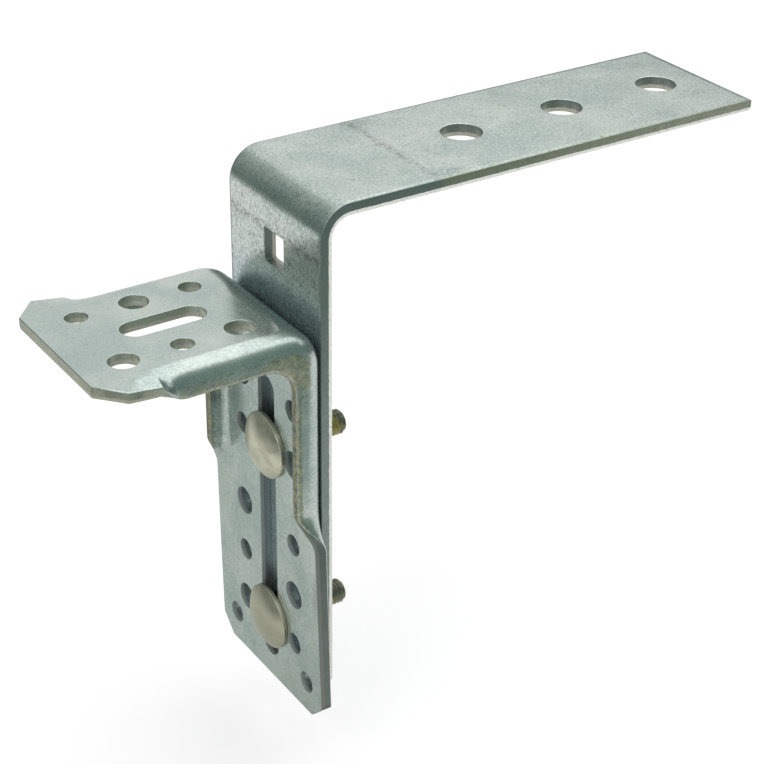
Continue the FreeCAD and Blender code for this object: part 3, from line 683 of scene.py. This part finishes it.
def nut_piece(node, name, bolt_node):
    """A hexagon nut, both faces turned, with countersinks and a thread that fits its bolt."""
    low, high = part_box(node)
    sink = THREAD_CREST_RADIUS + NUT_COUNTERSINK

    def turned_depth(angle):
        """How far the turning of a face cuts back the flats and corners."""
        return (hex_radius(angle) - NUT_FACE_RADIUS) * NUT_CORNER_SLOPE

    near = [turned(a, hex_radius(a), low.x + turned_depth(a)) for a in ANGLES]
    far = [turned(a, hex_radius(a), high.x - turned_depth(a)) for a in ANGLES]

    def bore_radius(x, height):
        """The nut's thread, a little wider than the bolt's, opened by the countersinks."""
        depth = min(x - low.x, high.x - x)
        return max(flank_radius(height) + NUT_THREAD_GAP, sink - depth)

    mesh = bmesh.new()
    rows = [ring(low.x, sink), ring(low.x, NUT_FACE_RADIUS), near, far]
    rows += [ring(high.x, NUT_FACE_RADIUS), ring(high.x, sink)]
    add_rows(mesh, rows)
    add_thread(mesh, low.x, high.x, thread_origin(bolt_node), bore_radius)
    bmesh.ops.remove_doubles(mesh, verts=mesh.verts, dist=MERGE_DISTANCE)
    outside = [
        edge for edge in mesh.edges
        if edge.calc_face_angle(0) > NUT_SHARP
        and min(vert.co.yz.length for vert in edge.verts) > NUT_FACE_RADIUS - MERGE_DISTANCE
    ]
    bmesh.ops.bevel(
        mesh, geom=outside, offset=NUT_EDGE_ROLL, offset_type="OFFSET", segments=NUT_ROLL_STEPS,
        profile=0.5, affect="EDGES", clamp_overlap=True,
    )
    return on_axis(mesh, node, name)


def washer_piece(node, name):
    """A punched washer: its edges are rolled on one face and nearly sharp on the other."""
    low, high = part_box(node)
    rim_radius = (high.z - low.z) / 2
    middle = (WASHER_BORE_RADIUS + rim_radius) / 2
    outline = rounded(
        (
            (high.x, middle), (high.x, rim_radius), (low.x, rim_radius),
            (low.x, WASHER_BORE_RADIUS), (high.x, WASHER_BORE_RADIUS), (high.x, middle),
        ),
        (WASHER_ROLL, WASHER_BURR, WASHER_BURR, WASHER_ROLL),
    )
    mesh = bmesh.new()
    add_rows(mesh, [ring(*point) for point in outline])
    return on_axis(mesh, node, name)


def tone(red, green, blue):
    """A colour given as 0-255 screen values."""
    def linear(level):
        share = level / 255
        return share / 12.92 if share <= 0.04045 else ((share + 0.055) / 1.055) ** 2.4
    return (linear(red), linear(green), linear(blue), 1.0)


# Grains of the sheets, from slow clouds to fine lines, then those of the fasteners
CLOUD = {"size": 24.0 * MM, "detail": 3, "rough": 0.55, "warp": 0.3}
PATCH = {"size": 6.0 * MM, "detail": 7, "rough": 0.78, "warp": 0.7}
RAGGED = {"size": 2.2 * MM, "detail": 4, "rough": 0.65}
PEPPER = {"size": 1.7 * MM, "detail": 5, "rough": 0.8}
FLECK = {"size": 1.3 * MM, "detail": 5, "rough": 0.75, "warp": 1.0}
DOTS = {"size": 0.9 * MM, "detail": 3, "rough": 0.6}
SPECK = {"size": 0.75 * MM, "detail": 2, "rough": 0.65}
LINES = {"size": 0.6 * MM, "detail": 2, "stretch": (30, 1, 30)}
BLOTCH = {"size": 5.0 * MM, "detail": 4, "rough": 0.6, "warp": 0.5}
PITS = {"size": 0.5 * MM, "detail": 3, "rough": 0.7}
SCUFFS = {"size": 0.35 * MM, "detail": 2, "stretch": (1, 1, 9)}

# Nearly all values of a grain lie between these two
WHOLE_GRAIN = (0.3, 0.7)

# Skin of both sheets: its ground, and the marks that each grain makes on it
ZINC = tone(164, 178, 174)
WARM_CLOUD = {"levels": (0.34, 0.66), "colour": tone(187, 196, 188)}
DARK_PATCH = {"levels": (0.52, 0.70), "colour": tone(136, 153, 149)}
PALE_PATCH = {"levels": (0.46, 0.30), "colour": tone(206, 213, 206)}
ROLLING_LINE = {"levels": (0.55, 0.74), "colour": tone(146, 160, 156), "shares": (0.0, 0.15)}
DARK_SPECK = {"levels": (0.52, 0.70), "colour": tone(118, 134, 128)}
PALE_SPECK = {"levels": (0.48, 0.30), "colour": tone(220, 226, 220)}
DARK_PEPPER = {"levels": (0.54, 0.68), "colour": tone(104, 116, 108)}
PEPPER_CROWD = (0.40, 0.58)
PEPPER_LEAST = 0.1

# Cut edges: where through the sheet the torn part starts, and its specks
TORN_FROM = (0.65, 0.69)
TORN_STRAY = 0.02
CUT_SPECK = {"levels": (0.50, 0.72), "colour": tone(96, 104, 96), "shares": (0.0, 0.40)}

# Stain of the lips: olive where it is thin, with rust and dots where it is full; on the plate's lip walls
# the olive is partly painted reflection
STAIN_STRAY = 0.25
STAIN_LEVELS = (0.4, 0.8)
STAIN_SHARE = 0.7
OLIVE_STAIN_AND_REFLECTION = tone(108, 116, 98)
RUST = tone(178, 174, 142)
RUST_FROM = (0.55, 0.85)
DARK_RUST = {"levels": (0.42, 0.60), "colour": tone(122, 128, 104)}
RUST_DOT = {"levels": (0.58, 0.66), "colour": tone(100, 86, 64), "shares": (0.0, 0.6)}

# How dull and how metallic each part of a sheet is, and the depth and strength of its relief
SPECK_DULL = {"low": 0.35, "high": 0.7, "to_low": -0.03, "to_high": 0.05}
CUT_DULL = 0.16
STAIN_DULL = 0.14
ZINC_METAL = 0.85
TORN_METAL = 0.25
SPECK_DEPTH = 0.02 * MM
PATCH_DEPTH = 0.05 * MM
PATCH_RELIEF = 0.25
CLOUD_DEPTH = 0.5 * MM
STAIN_RELIEF = (0.25 * MM, 0.5)

# Strip: its skin, its cut edges, the marks on it and the highlight and shade painted on it, placed in
# metres
STRIP_SKIN = {"speckle": 0.6, "rough": (0.20, 0.32), "wave": 0.5}
STRIP_SMOOTH = tone(147, 153, 135)
# Cut edges of the strip past the arm's press mark, toward the fold and down the leg, are darker and bluer
STRIP_SMOOTH_PAST_PRESS_MARK = tone(128, 140, 136)
STRIP_TORN = tone(246, 248, 240)
STRIP_HOLE_TONES = (tone(140, 149, 142), tone(198, 195, 180))
# The leg below the bend is tinted blue: painted shade and reflection, bluish near the plate
LEG_BLUE_SHADE = {"levels": (-20.0 * MM, -36.0 * MM), "colour": tone(167, 187, 198), "shares": (0.0, 0.6)}
# A pale band down the leg below the bend: painted highlight; real flecks of the zinc lie within it
LEG_SHEEN_AND_FLECKS_TOP = (-6.0 * MM, -12.0 * MM)
LEG_SHEEN_AND_FLECKS_FOOT = (-42.0 * MM, -26.0 * MM)
LEG_SHEEN_SHARE = 0.4
LEG_SHEEN_PALE = tone(218, 223, 215)
DARK_FLECK = {"levels": (0.54, 0.64), "colour": tone(112, 122, 112), "shares": (0.0, 0.85)}
PALE_FLECK = {"levels": (0.44, 0.34), "colour": tone(226, 231, 224), "shares": (0.0, 0.85)}
ARM_PRESS_MARK = -62.0 * MM
LEG_PRESS_MARK = -16.5 * MM
PRESS_MARK_WIDTH = 2.4 * MM
PRESS_MARK_STRAY = 0.8 * MM
PRESS_MARK = {"levels": (0.42, 0.60), "colour": tone(118, 124, 112), "shares": (0.1, 0.85)}
# A dark band across the arm's rolled end: painted shade where the end turns down
ARM_END_BAND = (CAD_BOX[1].x - 2.6 * MM, CAD_BOX[1].x - 2.0 * MM)
ARM_END_SHADE = {"levels": ARM_END_BAND, "colour": tone(122, 132, 134), "shares": (0.0, 0.7)}
ARM_END_STRAY = 0.2 * MM
SMUDGES = ((-60.0 * MM, 22.5 * MM), (-56.0 * MM, -23.0 * MM))
SMUDGE_EDGE = (6.5 * MM, 2.0 * MM)
SMUDGE_MARK = {"levels": (0.40, 0.54), "colour": tone(112, 128, 122), "shares": (0.0, 0.6)}

# Angle: its skin, and its cut edges and holes, each on the leg and then on the plate; the leg's darker
# tones are painted shade
ANGLE_SKIN = {"speckle": 0.3, "rough": (0.20, 0.30), "wave": 0.8}
# Levels along Z where the leg's darker tones, painted shade, give way to the plate's
LEG_SHADE_TO_PLATE = (-52.0 * MM, -44.0 * MM)
ANGLE_SMOOTH = (tone(101, 110, 104), tone(156, 161, 144))
ANGLE_TORN = (tone(113, 120, 111), tone(168, 171, 153))
ANGLE_HOLE_SMOOTH = (tone(158, 167, 167), tone(172, 178, 164))
ANGLE_HOLE_TORN = (tone(158, 167, 165), tone(168, 171, 153))

# Fasteners: dark and pale zinc of the bolts and of the nuts, and the marks on them
BOLT_TONES = (tone(182, 181, 161), tone(212, 210, 188))
NUT_TONES = (tone(150, 154, 142), tone(176, 179, 166))
BLOTCH_LEVELS = (0.32, 0.68)
DARK_PIT = {"levels": (0.55, 0.75), "colour": tone(120, 122, 108), "shares": (0.0, 0.35)}
PALE_SCUFF = {"levels": (0.62, 0.75), "colour": tone(214, 214, 202), "shares": (0.0, 0.25)}
# The lower bolt is darker: its colour changes between these two levels along Z
LOWER_BOLT_DARKER = {"levels": (-112.0 * MM, -122.0 * MM), "colour": tone(160, 158, 138), "shares": (0.0, 0.6)}
THREAD_START = -99.5 * MM
OIL = tone(112, 114, 98)
YELLOW_OIL = {"levels": (0.52, 0.66), "colour": tone(158, 152, 92)}
FASTENER_ROUGH = (0.32, 0.42)
SCUFF_SHINE = {"low": 0.6, "high": 0.75, "to_high": -0.06}
PIT_RELIEF = (0.02 * MM, 0.3)
BLOTCH_RELIEF = (0.08 * MM, 0.12)


class Finish:
    """A node material under construction; each method adds a node and returns what comes out of it."""

    def __init__(self, name):
        self.material = bpy.data.materials.new(name)
        self.material.use_nodes = True
        self.tree = self.material.node_tree
        self.shader = self.tree.nodes["Principled BSDF"]
        self.place = self.node("ShaderNodeTexCoord").outputs["Object"]

    def feed(self, socket, value):
        """Links the value to the socket if it comes out of a node, else sets it there."""
        if isinstance(value, bpy.types.NodeSocket):
            self.tree.links.new(value, socket)
        else:
            socket.default_value = value

    def node(self, kind, inputs=None, **settings):
        """A new node of that kind, with its settings and what goes into it."""
        made = self.tree.nodes.new(kind)
        for name, value in settings.items():
            setattr(made, name, value)
        for name, value in (inputs or {}).items():
            self.feed(made.inputs[name], value)
        return made

    def mark(self, name):
        """What the sheet's points are marked with under that name."""
        return self.node("ShaderNodeAttribute", attribute_name=name).outputs["Fac"]

    def axis(self, name):
        """One coordinate of the object, in metres."""
        return self.node("ShaderNodeSeparateXYZ", {"Vector": self.place}).outputs[name]

    def away(self, *point):
        """Distance from a point of the object, in metres."""
        ends = {0: self.place, 1: point}
        return self.node("ShaderNodeVectorMath", ends, operation="DISTANCE").outputs["Value"]

    def grain(self, size, detail=2, rough=0.5, stretch=(1, 1, 1), warp=0.0):
        """Soft noise whose features are about size metres, longer where stretch is over 1."""
        scale = [1 / (size * along) for along in stretch]
        spot = self.node("ShaderNodeMapping", {"Vector": self.place, "Scale": scale})
        inputs = {
            "Vector": spot.outputs["Vector"], "Scale": 1.0, "Detail": detail,
            "Roughness": rough, "Distortion": warp,
        }
        return self.node("ShaderNodeTexNoise", inputs).outputs["Fac"]

    def span(self, value, low, high, to_low=0.0, to_high=1.0):
        """Stretches low..high to to_low..to_high, held within that range and eased."""
        inputs = {"Value": value, "From Min": low, "From Max": high, "To Min": to_low, "To Max": to_high}
        return self.node("ShaderNodeMapRange", inputs, interpolation_type="SMOOTHSTEP").outputs["Result"]

    def sum(self, first, second):
        return self.node("ShaderNodeMath", {0: first, 1: second}, operation="ADD").outputs["Value"]

    def product(self, first, second):
        return self.node("ShaderNodeMath", {0: first, 1: second}, operation="MULTIPLY").outputs["Value"]

    def stray(self, value, grain, by):
        """The value, moved up or down by as much as the grain says."""
        return self.sum(value, self.span(grain, *WHOLE_GRAIN, -by, by))

    def mix(self, share, first, second):
        """Colour first, going to second where share is 1."""
        inputs = {"Factor": share, "A": first, "B": second}
        return self.node("ShaderNodeMix", inputs, data_type="RGBA").outputs["Result"]

    def layer(self, under, guide, levels, colour, shares=(0.0, 1.0), within=None):
        """Colour under, and the new colour over it as the guide goes from one level to the other.

        shares are how much of it shows at each level; within is where it shows at all.
        """
        shown = self.span(guide, *levels, *shares)
        if within is not None:
            shown = self.product(within, shown)
        return self.mix(shown, under, colour)

    def bump(self, height, depth, strength, normal=None):
        """Relief of that depth in metres, on top of the normal so far."""
        inputs = {"Height": height, "Distance": depth, "Strength": strength}
        if normal is not None:
            inputs["Normal"] = normal
        return self.node("ShaderNodeBump", inputs).outputs["Normal"]

    def surface(self, **inputs):
        """Feeds the shader and returns the finished material."""
        for name, value in inputs.items():
            self.feed(self.shader.inputs[name.replace("_", " ")], value)
        return self.material


def sheet_zinc(look, cut_tones, hole_tones, speckle, rough, wave, extra=None):
    """Galvanised sheet: zinc grain over ragged patches, rolling lines, stained lips and uncoated cut edges;
    along the plate's lip the stain is partly painted reflection, and over the strip's rolled edges the
    cut's tone is painted shade.

    cut_tones are the smooth and the torn part of a cut edge, hole_tones the same in a hole;
    speckle is how strong the grain shows, rough the skin's range of roughness, wave how strong its
    slow waves are; extra may change the colour of the skin.
    """
    cloud = look.grain(**CLOUD)
    patch = look.grain(**PATCH)
    speck = look.grain(**SPECK)
    pepper = look.grain(**PEPPER)
    ragged = look.grain(**RAGGED)
    grained = (0.0, speckle)
    skin = look.layer(ZINC, cloud, **WARM_CLOUD)
    skin = look.layer(skin, patch, shares=grained, **DARK_PATCH)
    skin = look.layer(skin, patch, shares=grained, **PALE_PATCH)
    skin = look.layer(skin, look.grain(**LINES), **ROLLING_LINE)
    if extra:
        skin = extra(skin, patch, pepper)
    skin = look.layer(skin, speck, shares=grained, **DARK_SPECK)
    skin = look.layer(skin, speck, shares=grained, **PALE_SPECK)
    crowd = look.span(patch, *PEPPER_CROWD, PEPPER_LEAST, speckle)
    skin = look.layer(skin, pepper, within=crowd, **DARK_PEPPER)

    torn = look.span(look.stray(look.mark("through"), ragged, TORN_STRAY), *TORN_FROM)
    in_hole = look.mark("hole")
    smooth_tone = look.mix(in_hole, cut_tones[0], hole_tones[0])
    torn_tone = look.mix(in_hole, cut_tones[1], hole_tones[1])
    cut = look.layer(look.mix(torn, smooth_tone, torn_tone), speck, **CUT_SPECK)
    # The cut mark also holds the painted shade on the strip's rolled edges
    bare_cut_and_roll_shade = look.mark("cut")
    colour = look.mix(bare_cut_and_roll_shade, skin, cut)

    # The lip mark: real stain at the knee and the rim, partly painted reflection along the plate's lip
    # walls
    reach = look.stray(look.mark("lip"), ragged, STAIN_STRAY)
    stain_and_reflection = look.span(reach, *STAIN_LEVELS, to_high=STAIN_SHARE)
    rust = look.layer(RUST, pepper, **DARK_RUST)
    rust = look.layer(rust, look.grain(**DOTS), **RUST_DOT)
    rust = look.layer(OLIVE_STAIN_AND_REFLECTION, reach, RUST_FROM, rust)
    colour = look.mix(stain_and_reflection, colour, rust)

    dull = look.span(patch, *WHOLE_GRAIN, *rough)
    dull = look.sum(dull, look.span(speck, **SPECK_DULL))
    dull = look.sum(dull, look.span(bare_cut_and_roll_shade, 0.0, 1.0, to_high=CUT_DULL))
    dull = look.sum(dull, look.span(stain_and_reflection, 0.0, STAIN_SHARE, to_high=STAIN_DULL))
    metal = look.span(look.product(bare_cut_and_roll_shade, torn), 0.0, 1.0, ZINC_METAL, TORN_METAL)
    normal = look.bump(speck, SPECK_DEPTH, speckle * speckle)
    normal = look.bump(look.product(ragged, stain_and_reflection), *STAIN_RELIEF, normal)
    normal = look.bump(patch, PATCH_DEPTH, speckle * PATCH_RELIEF, normal)
    normal = look.bump(cloud, CLOUD_DEPTH, wave, normal)
    return look.surface(Base_Color=colour, Metallic=metal, Roughness=dull, Normal=normal)


def strip_zinc():
    """The strip's finish: press marks across it beside the fold, and painted light: a blue shade on the
    leg, a pale highlight below the bend and shade on the arm's rolled end.
    """
    look = Finish("strip_galvanised")
    arm, leg = look.axis("X"), look.axis("Z")

    def marked(skin, patch, pepper):
        """The skin with the marks that only the strip has, and the highlight and shade painted on it."""
        # Painted shade: a blue tint down the leg toward the plate
        skin = look.layer(skin, leg, **LEG_BLUE_SHADE)
        # Painted highlight: a pale band down the leg below the bend, where the flecks also go
        painted_light_share = look.product(look.span(leg, *LEG_SHEEN_AND_FLECKS_TOP), look.span(leg, *LEG_SHEEN_AND_FLECKS_FOOT))
        skin = look.mix(look.product(painted_light_share, LEG_SHEEN_SHARE), skin, LEG_SHEEN_PALE)
        fleck = look.grain(**FLECK)
        for mark in (DARK_FLECK, PALE_FLECK):
            skin = look.layer(skin, fleck, within=painted_light_share, **mark)
        for axis, place in ((arm, ARM_PRESS_MARK), (leg, LEG_PRESS_MARK)):
            ragged = look.stray(axis, patch, PRESS_MARK_STRAY)
            rise = look.span(ragged, place - PRESS_MARK_WIDTH, place)
            fall = look.span(ragged, place, place + PRESS_MARK_WIDTH, 1.0, 0.0)
            skin = look.layer(skin, pepper, within=look.product(rise, fall), **PRESS_MARK)
        # Painted shade across the arm's rolled end
        skin = look.layer(skin, look.stray(arm, patch, ARM_END_STRAY), **ARM_END_SHADE)
        for smudge in SMUDGES:
            spot = look.span(look.away(*smudge, 0), *SMUDGE_EDGE)
            skin = look.layer(skin, pepper, within=spot, **SMUDGE_MARK)
        return skin

    # Darker, bluer cut edges past the arm's press mark, toward the fold and down the leg
    past_press_mark = look.span(arm, ARM_PRESS_MARK + PRESS_MARK_WIDTH, ARM_PRESS_MARK)
    cut_tones = (look.mix(past_press_mark, STRIP_SMOOTH, STRIP_SMOOTH_PAST_PRESS_MARK), STRIP_TORN)
    return sheet_zinc(look, cut_tones, STRIP_HOLE_TONES, extra=marked, **STRIP_SKIN)


def angle_zinc():
    """The angle's finish: its cut edges are dull and a little yellow; on the leg they and the holes are
    painted darker than on the plate, as shade.
    """
    look = Finish("angle_galvanised")
    # Painted shade: cut edges and holes darker on the leg than on the plate
    plate = look.span(look.axis("Z"), *LEG_SHADE_TO_PLATE)
    cut_tones = [look.mix(plate, *tones) for tones in (ANGLE_SMOOTH, ANGLE_TORN)]
    hole_tones = [look.mix(plate, *tones) for tones in (ANGLE_HOLE_SMOOTH, ANGLE_HOLE_TORN)]
    return sheet_zinc(look, cut_tones, hole_tones, **ANGLE_SKIN)


def fastener_zinc(name, dark, pale, thread=None):
    """Dull barrel-plated zinc: warm, slightly blotched, with fine scuffs.

    thread is where along X a bolt's thread starts, which is oily and partly yellow; of the bolts,
    the lower one is darker.
    """
    look = Finish(name)
    blotch = look.grain(**BLOTCH)
    pits = look.grain(**PITS)
    scuffs = look.grain(**SCUFFS)
    colour = look.layer(dark, blotch, BLOTCH_LEVELS, pale)
    colour = look.layer(colour, pits, **DARK_PIT)
    colour = look.layer(colour, scuffs, **PALE_SCUFF)
    dull = look.span(blotch, *WHOLE_GRAIN, *FASTENER_ROUGH)
    dull = look.sum(dull, look.span(scuffs, **SCUFF_SHINE))
    if thread is not None:
        colour = look.layer(colour, look.axis("Z"), **LOWER_BOLT_DARKER)
        oily = look.layer(OIL, blotch, **YELLOW_OIL)
        colour = look.layer(colour, look.axis("X"), (thread, thread + THREAD_PITCH), oily)
    normal = look.bump(pits, *PIT_RELIEF)
    normal = look.bump(blotch, *BLOTCH_RELIEF, normal)
    return look.surface(Base_Color=colour, Metallic=ZINC_METAL, Roughness=dull, Normal=normal)


# Stage, in metres and watts: the floor lies just under the lowest place that the angle slides to
FLOOR_GAP = 0.5 * MM
FLOOR_LEVEL = CAD_BOX[0].z + frame["joints"][0]["range_m"][0] - FLOOR_GAP
CARD_LEVEL = FLOOR_LEVEL + FLOOR_GAP
FLOOR_SIZE = 6.0
FLOOR_CELLS = 8
FLOOR_ROUGH = 0.9
FLOOR_GLOW = (0.36, 0.55)
FLOOR_GLOW_REACH = (0.5, 1.8)
FLOOR_PALE = (0.82, 0.82, 0.82, 1.0)
WHITE = (1.0, 1.0, 1.0, 1.0)
WORLD_FILL = 0.55
KEY = {"place": (0.25, 0.05, 0.85), "aim": (-0.05, 0, -0.05), "size": (1.6, 1.25), "watts": 5.2}
SIDE = {"place": (-0.9, -0.35, 0.5), "aim": (-0.08, 0, -0.09), "size": (0.6, 0.6), "watts": 2.0}


def lying(*corners):
    """Corners of a card that lies just over the floor."""
    return [(x, y, CARD_LEVEL) for x, y in corners]


def standing(first, last, top):
    """Corners of a card that stands there from the first post to the last, up to top."""
    return lying(first, last) + [(*last, top), (*first, top)]


# Cards that only reflections see: some stand round the part from post to post, the others lie
CARD_PALE = tone(225, 232, 228)
LEFT_POST = (-1.1, -0.6)
BACK_LEFT_POST = (-1.1, 0.1)
BACK_POST = (-0.15, 1.0)
FAR_POST = (0.4, 0.75)
FAR_RIGHT_POST = (0.85, 0.3)
RIGHT_POST = (0.85, -0.45)
FRONT_POST = (-0.25, -0.75)
LOW_CARD = 0.22
BACK_FOOT_FADE = (CARD_LEVEL + 0.13, CARD_LEVEL - 0.03)
CARDS = {
    "back_card": {
        "colour": tone(92, 118, 111), "corners": standing(BACK_LEFT_POST, BACK_POST, top=0.95),
        "fades": ((-0.15, 1.1), BACK_FOOT_FADE),
    },
    "far_card": {"colour": tone(96, 112, 108), "corners": standing(FAR_POST, FAR_RIGHT_POST, LOW_CARD)},
    "front_card": {
        "colour": tone(138, 158, 149),
        "corners": lying((-0.35, -0.75), (0.6, -0.75), (0.6, -0.3), (-0.35, -0.1)),
    },
    "right_card": {
        "colour": tone(126, 158, 150), "corners": standing(FRONT_POST, RIGHT_POST, top=0.9),
        "fades": ((0.3, 1.0),),
    },
    "end_card": {"colour": tone(96, 116, 112), "corners": standing(RIGHT_POST, FAR_RIGHT_POST, LOW_CARD)},
    "beside_card": {
        "colour": tone(240, 245, 242),
        "corners": lying((-0.285, 0.0), (-0.102, -0.05), (-0.102, 0.13), (-0.285, 0.245)),
    },
    "behind_card": {
        "colour": tone(104, 122, 114),
        "corners": lying((-0.2, 0.2), (-0.102, 0.135), (-0.02, 0.45), (-0.2, 0.45)),
    },
    "left_card": {
        "colour": tone(70, 96, 96),
        "corners": lying((-0.7, -0.3), (-0.38, -0.3), (-0.38, 0.08), (-0.7, 0.08)),
    },
    "left_wall_card": {"colour": tone(70, 98, 96), "corners": standing(LEFT_POST, BACK_LEFT_POST, top=0.8)},
}


def seen_directly(tree):
    """1 for rays of the camera and of gloss and glass, which see the white backdrop, else 0."""
    path = tree.nodes.new("ShaderNodeLightPath")
    total = path.outputs["Is Camera Ray"]
    for name in ("Is Glossy Ray", "Is Transmission Ray"):
        larger = tree.nodes.new("ShaderNodeMath")
        larger.operation = "MAXIMUM"
        tree.links.new(total, larger.inputs[0])
        tree.links.new(path.outputs[name], larger.inputs[1])
        total = larger.outputs["Value"]
    return total


def make_world():
    """White to the eye and in reflections, and a soft even fill for the rest."""
    world = bpy.data.worlds.new("studio")
    bpy.context.scene.world = world
    world.use_nodes = True
    tree = world.node_tree
    light = tree.nodes["Background"]
    strength = tree.nodes.new("ShaderNodeMapRange")
    tree.links.new(seen_directly(tree), strength.inputs["Value"])
    strength.inputs["To Min"].default_value = WORLD_FILL
    tree.links.new(strength.outputs["Result"], light.inputs["Strength"])
    light.inputs["Color"].default_value = WHITE


def make_floor():
    """A pale floor that shows white where lit, far off too, and keeps the object's soft shadow."""
    mesh = bmesh.new()
    bmesh.ops.create_grid(mesh, x_segments=FLOOR_CELLS, y_segments=FLOOR_CELLS, size=FLOOR_SIZE / 2)
    bmesh.ops.translate(mesh, verts=mesh.verts, vec=(0, 0, FLOOR_LEVEL))
    data = bpy.data.meshes.new("floor")
    mesh.to_mesh(data)
    mesh.free()
    floor = linked("floor", data)
    look = Finish("pale_floor")
    glow = look.span(look.away(0, 0, 0), *FLOOR_GLOW_REACH, *FLOOR_GLOW)
    data.materials.append(look.surface(
        Base_Color=FLOOR_PALE, Roughness=FLOOR_ROUGH, Specular_IOR_Level=0.0, Emission_Color=WHITE,
        Emission_Strength=look.product(seen_directly(look.tree), glow),
    ))


def make_lamp(name, place, aim, size, watts):
    """A rectangular soft box."""
    data = bpy.data.lights.new(name, "AREA")
    data.shape = "RECTANGLE"
    data.size, data.size_y = size
    data.energy = watts
    lamp = linked(name, data)
    lamp.location = place
    lamp.rotation_euler = (Vector(aim) - Vector(place)).to_track_quat("-Z", "Y").to_euler()


def make_card(name, colour, corners, fades=()):
    """A card as photographers hold beside metal; each fade is two levels between which it turns pale."""
    data = bpy.data.meshes.new(name)
    data.from_pydata(corners, [], [(0, 1, 2, 3)])
    card = linked(name, data)
    look = Finish(name)
    for fade in fades:
        colour = look.layer(colour, look.axis("Z"), fade, CARD_PALE)
    data.materials.append(look.surface(Base_Color=colour, Roughness=1.0, Specular_IOR_Level=0.0))
    card.visible_camera = False
    card.visible_diffuse = False
    card.visible_shadow = False


def make_camera():
    """The photo's view of the part."""
    data = bpy.data.cameras.new("camera")
    data.lens = CAMERA_LENS
    data.sensor_width = CAMERA_SENSOR
    camera = linked("camera", data)
    turn = CAMERA_AHEAD.to_track_quat("-Z", "Y").to_matrix() @ Matrix.Rotation(-CAMERA_LEAN, 3, "Z")
    camera.matrix_world = Matrix.Translation(CAMERA_PLACE) @ turn.to_4x4()
    bpy.context.scene.camera = camera


strip_finish = strip_zinc()
angle_finish = angle_zinc()
bolt_finish = fastener_zinc("bolt_zinc", *BOLT_TONES, THREAD_START)
nut_finish = fastener_zinc("nut_zinc", *NUT_TONES)

settle(strip_piece(), "arm_strip", STRIP_BODY, strip_finish)
settle(angle_piece(), "frame_angle", ANGLE_BODY, angle_finish)
for level in ("upper", "lower"):
    bolt_node = "carriage_bolt_" + level
    bolt = bolt_piece(bolt_node, "domed_bolt_" + level)
    settle(bolt, bolt_node, STRIP_BODY, bolt_finish)
    washer_node = "washer_" + level
    washer = washer_piece(washer_node, "plain_washer_" + level)
    settle(washer, washer_node, STRIP_BODY, nut_finish)
    nut_node = "hex_nut_" + level
    nut = nut_piece(nut_node, "threaded_nut_" + level, bolt_node)
    settle(nut, nut_node, STRIP_BODY, nut_finish)

make_world()
make_floor()
make_lamp("key_soft_box", **KEY)
make_lamp("side_soft_box", **SIDE)
for card_name, card in CARDS.items():
    make_card(card_name, **card)
make_camera()
bpy.context.scene.view_settings.view_transform = "Standard"

bpy.context.view_layer.update()
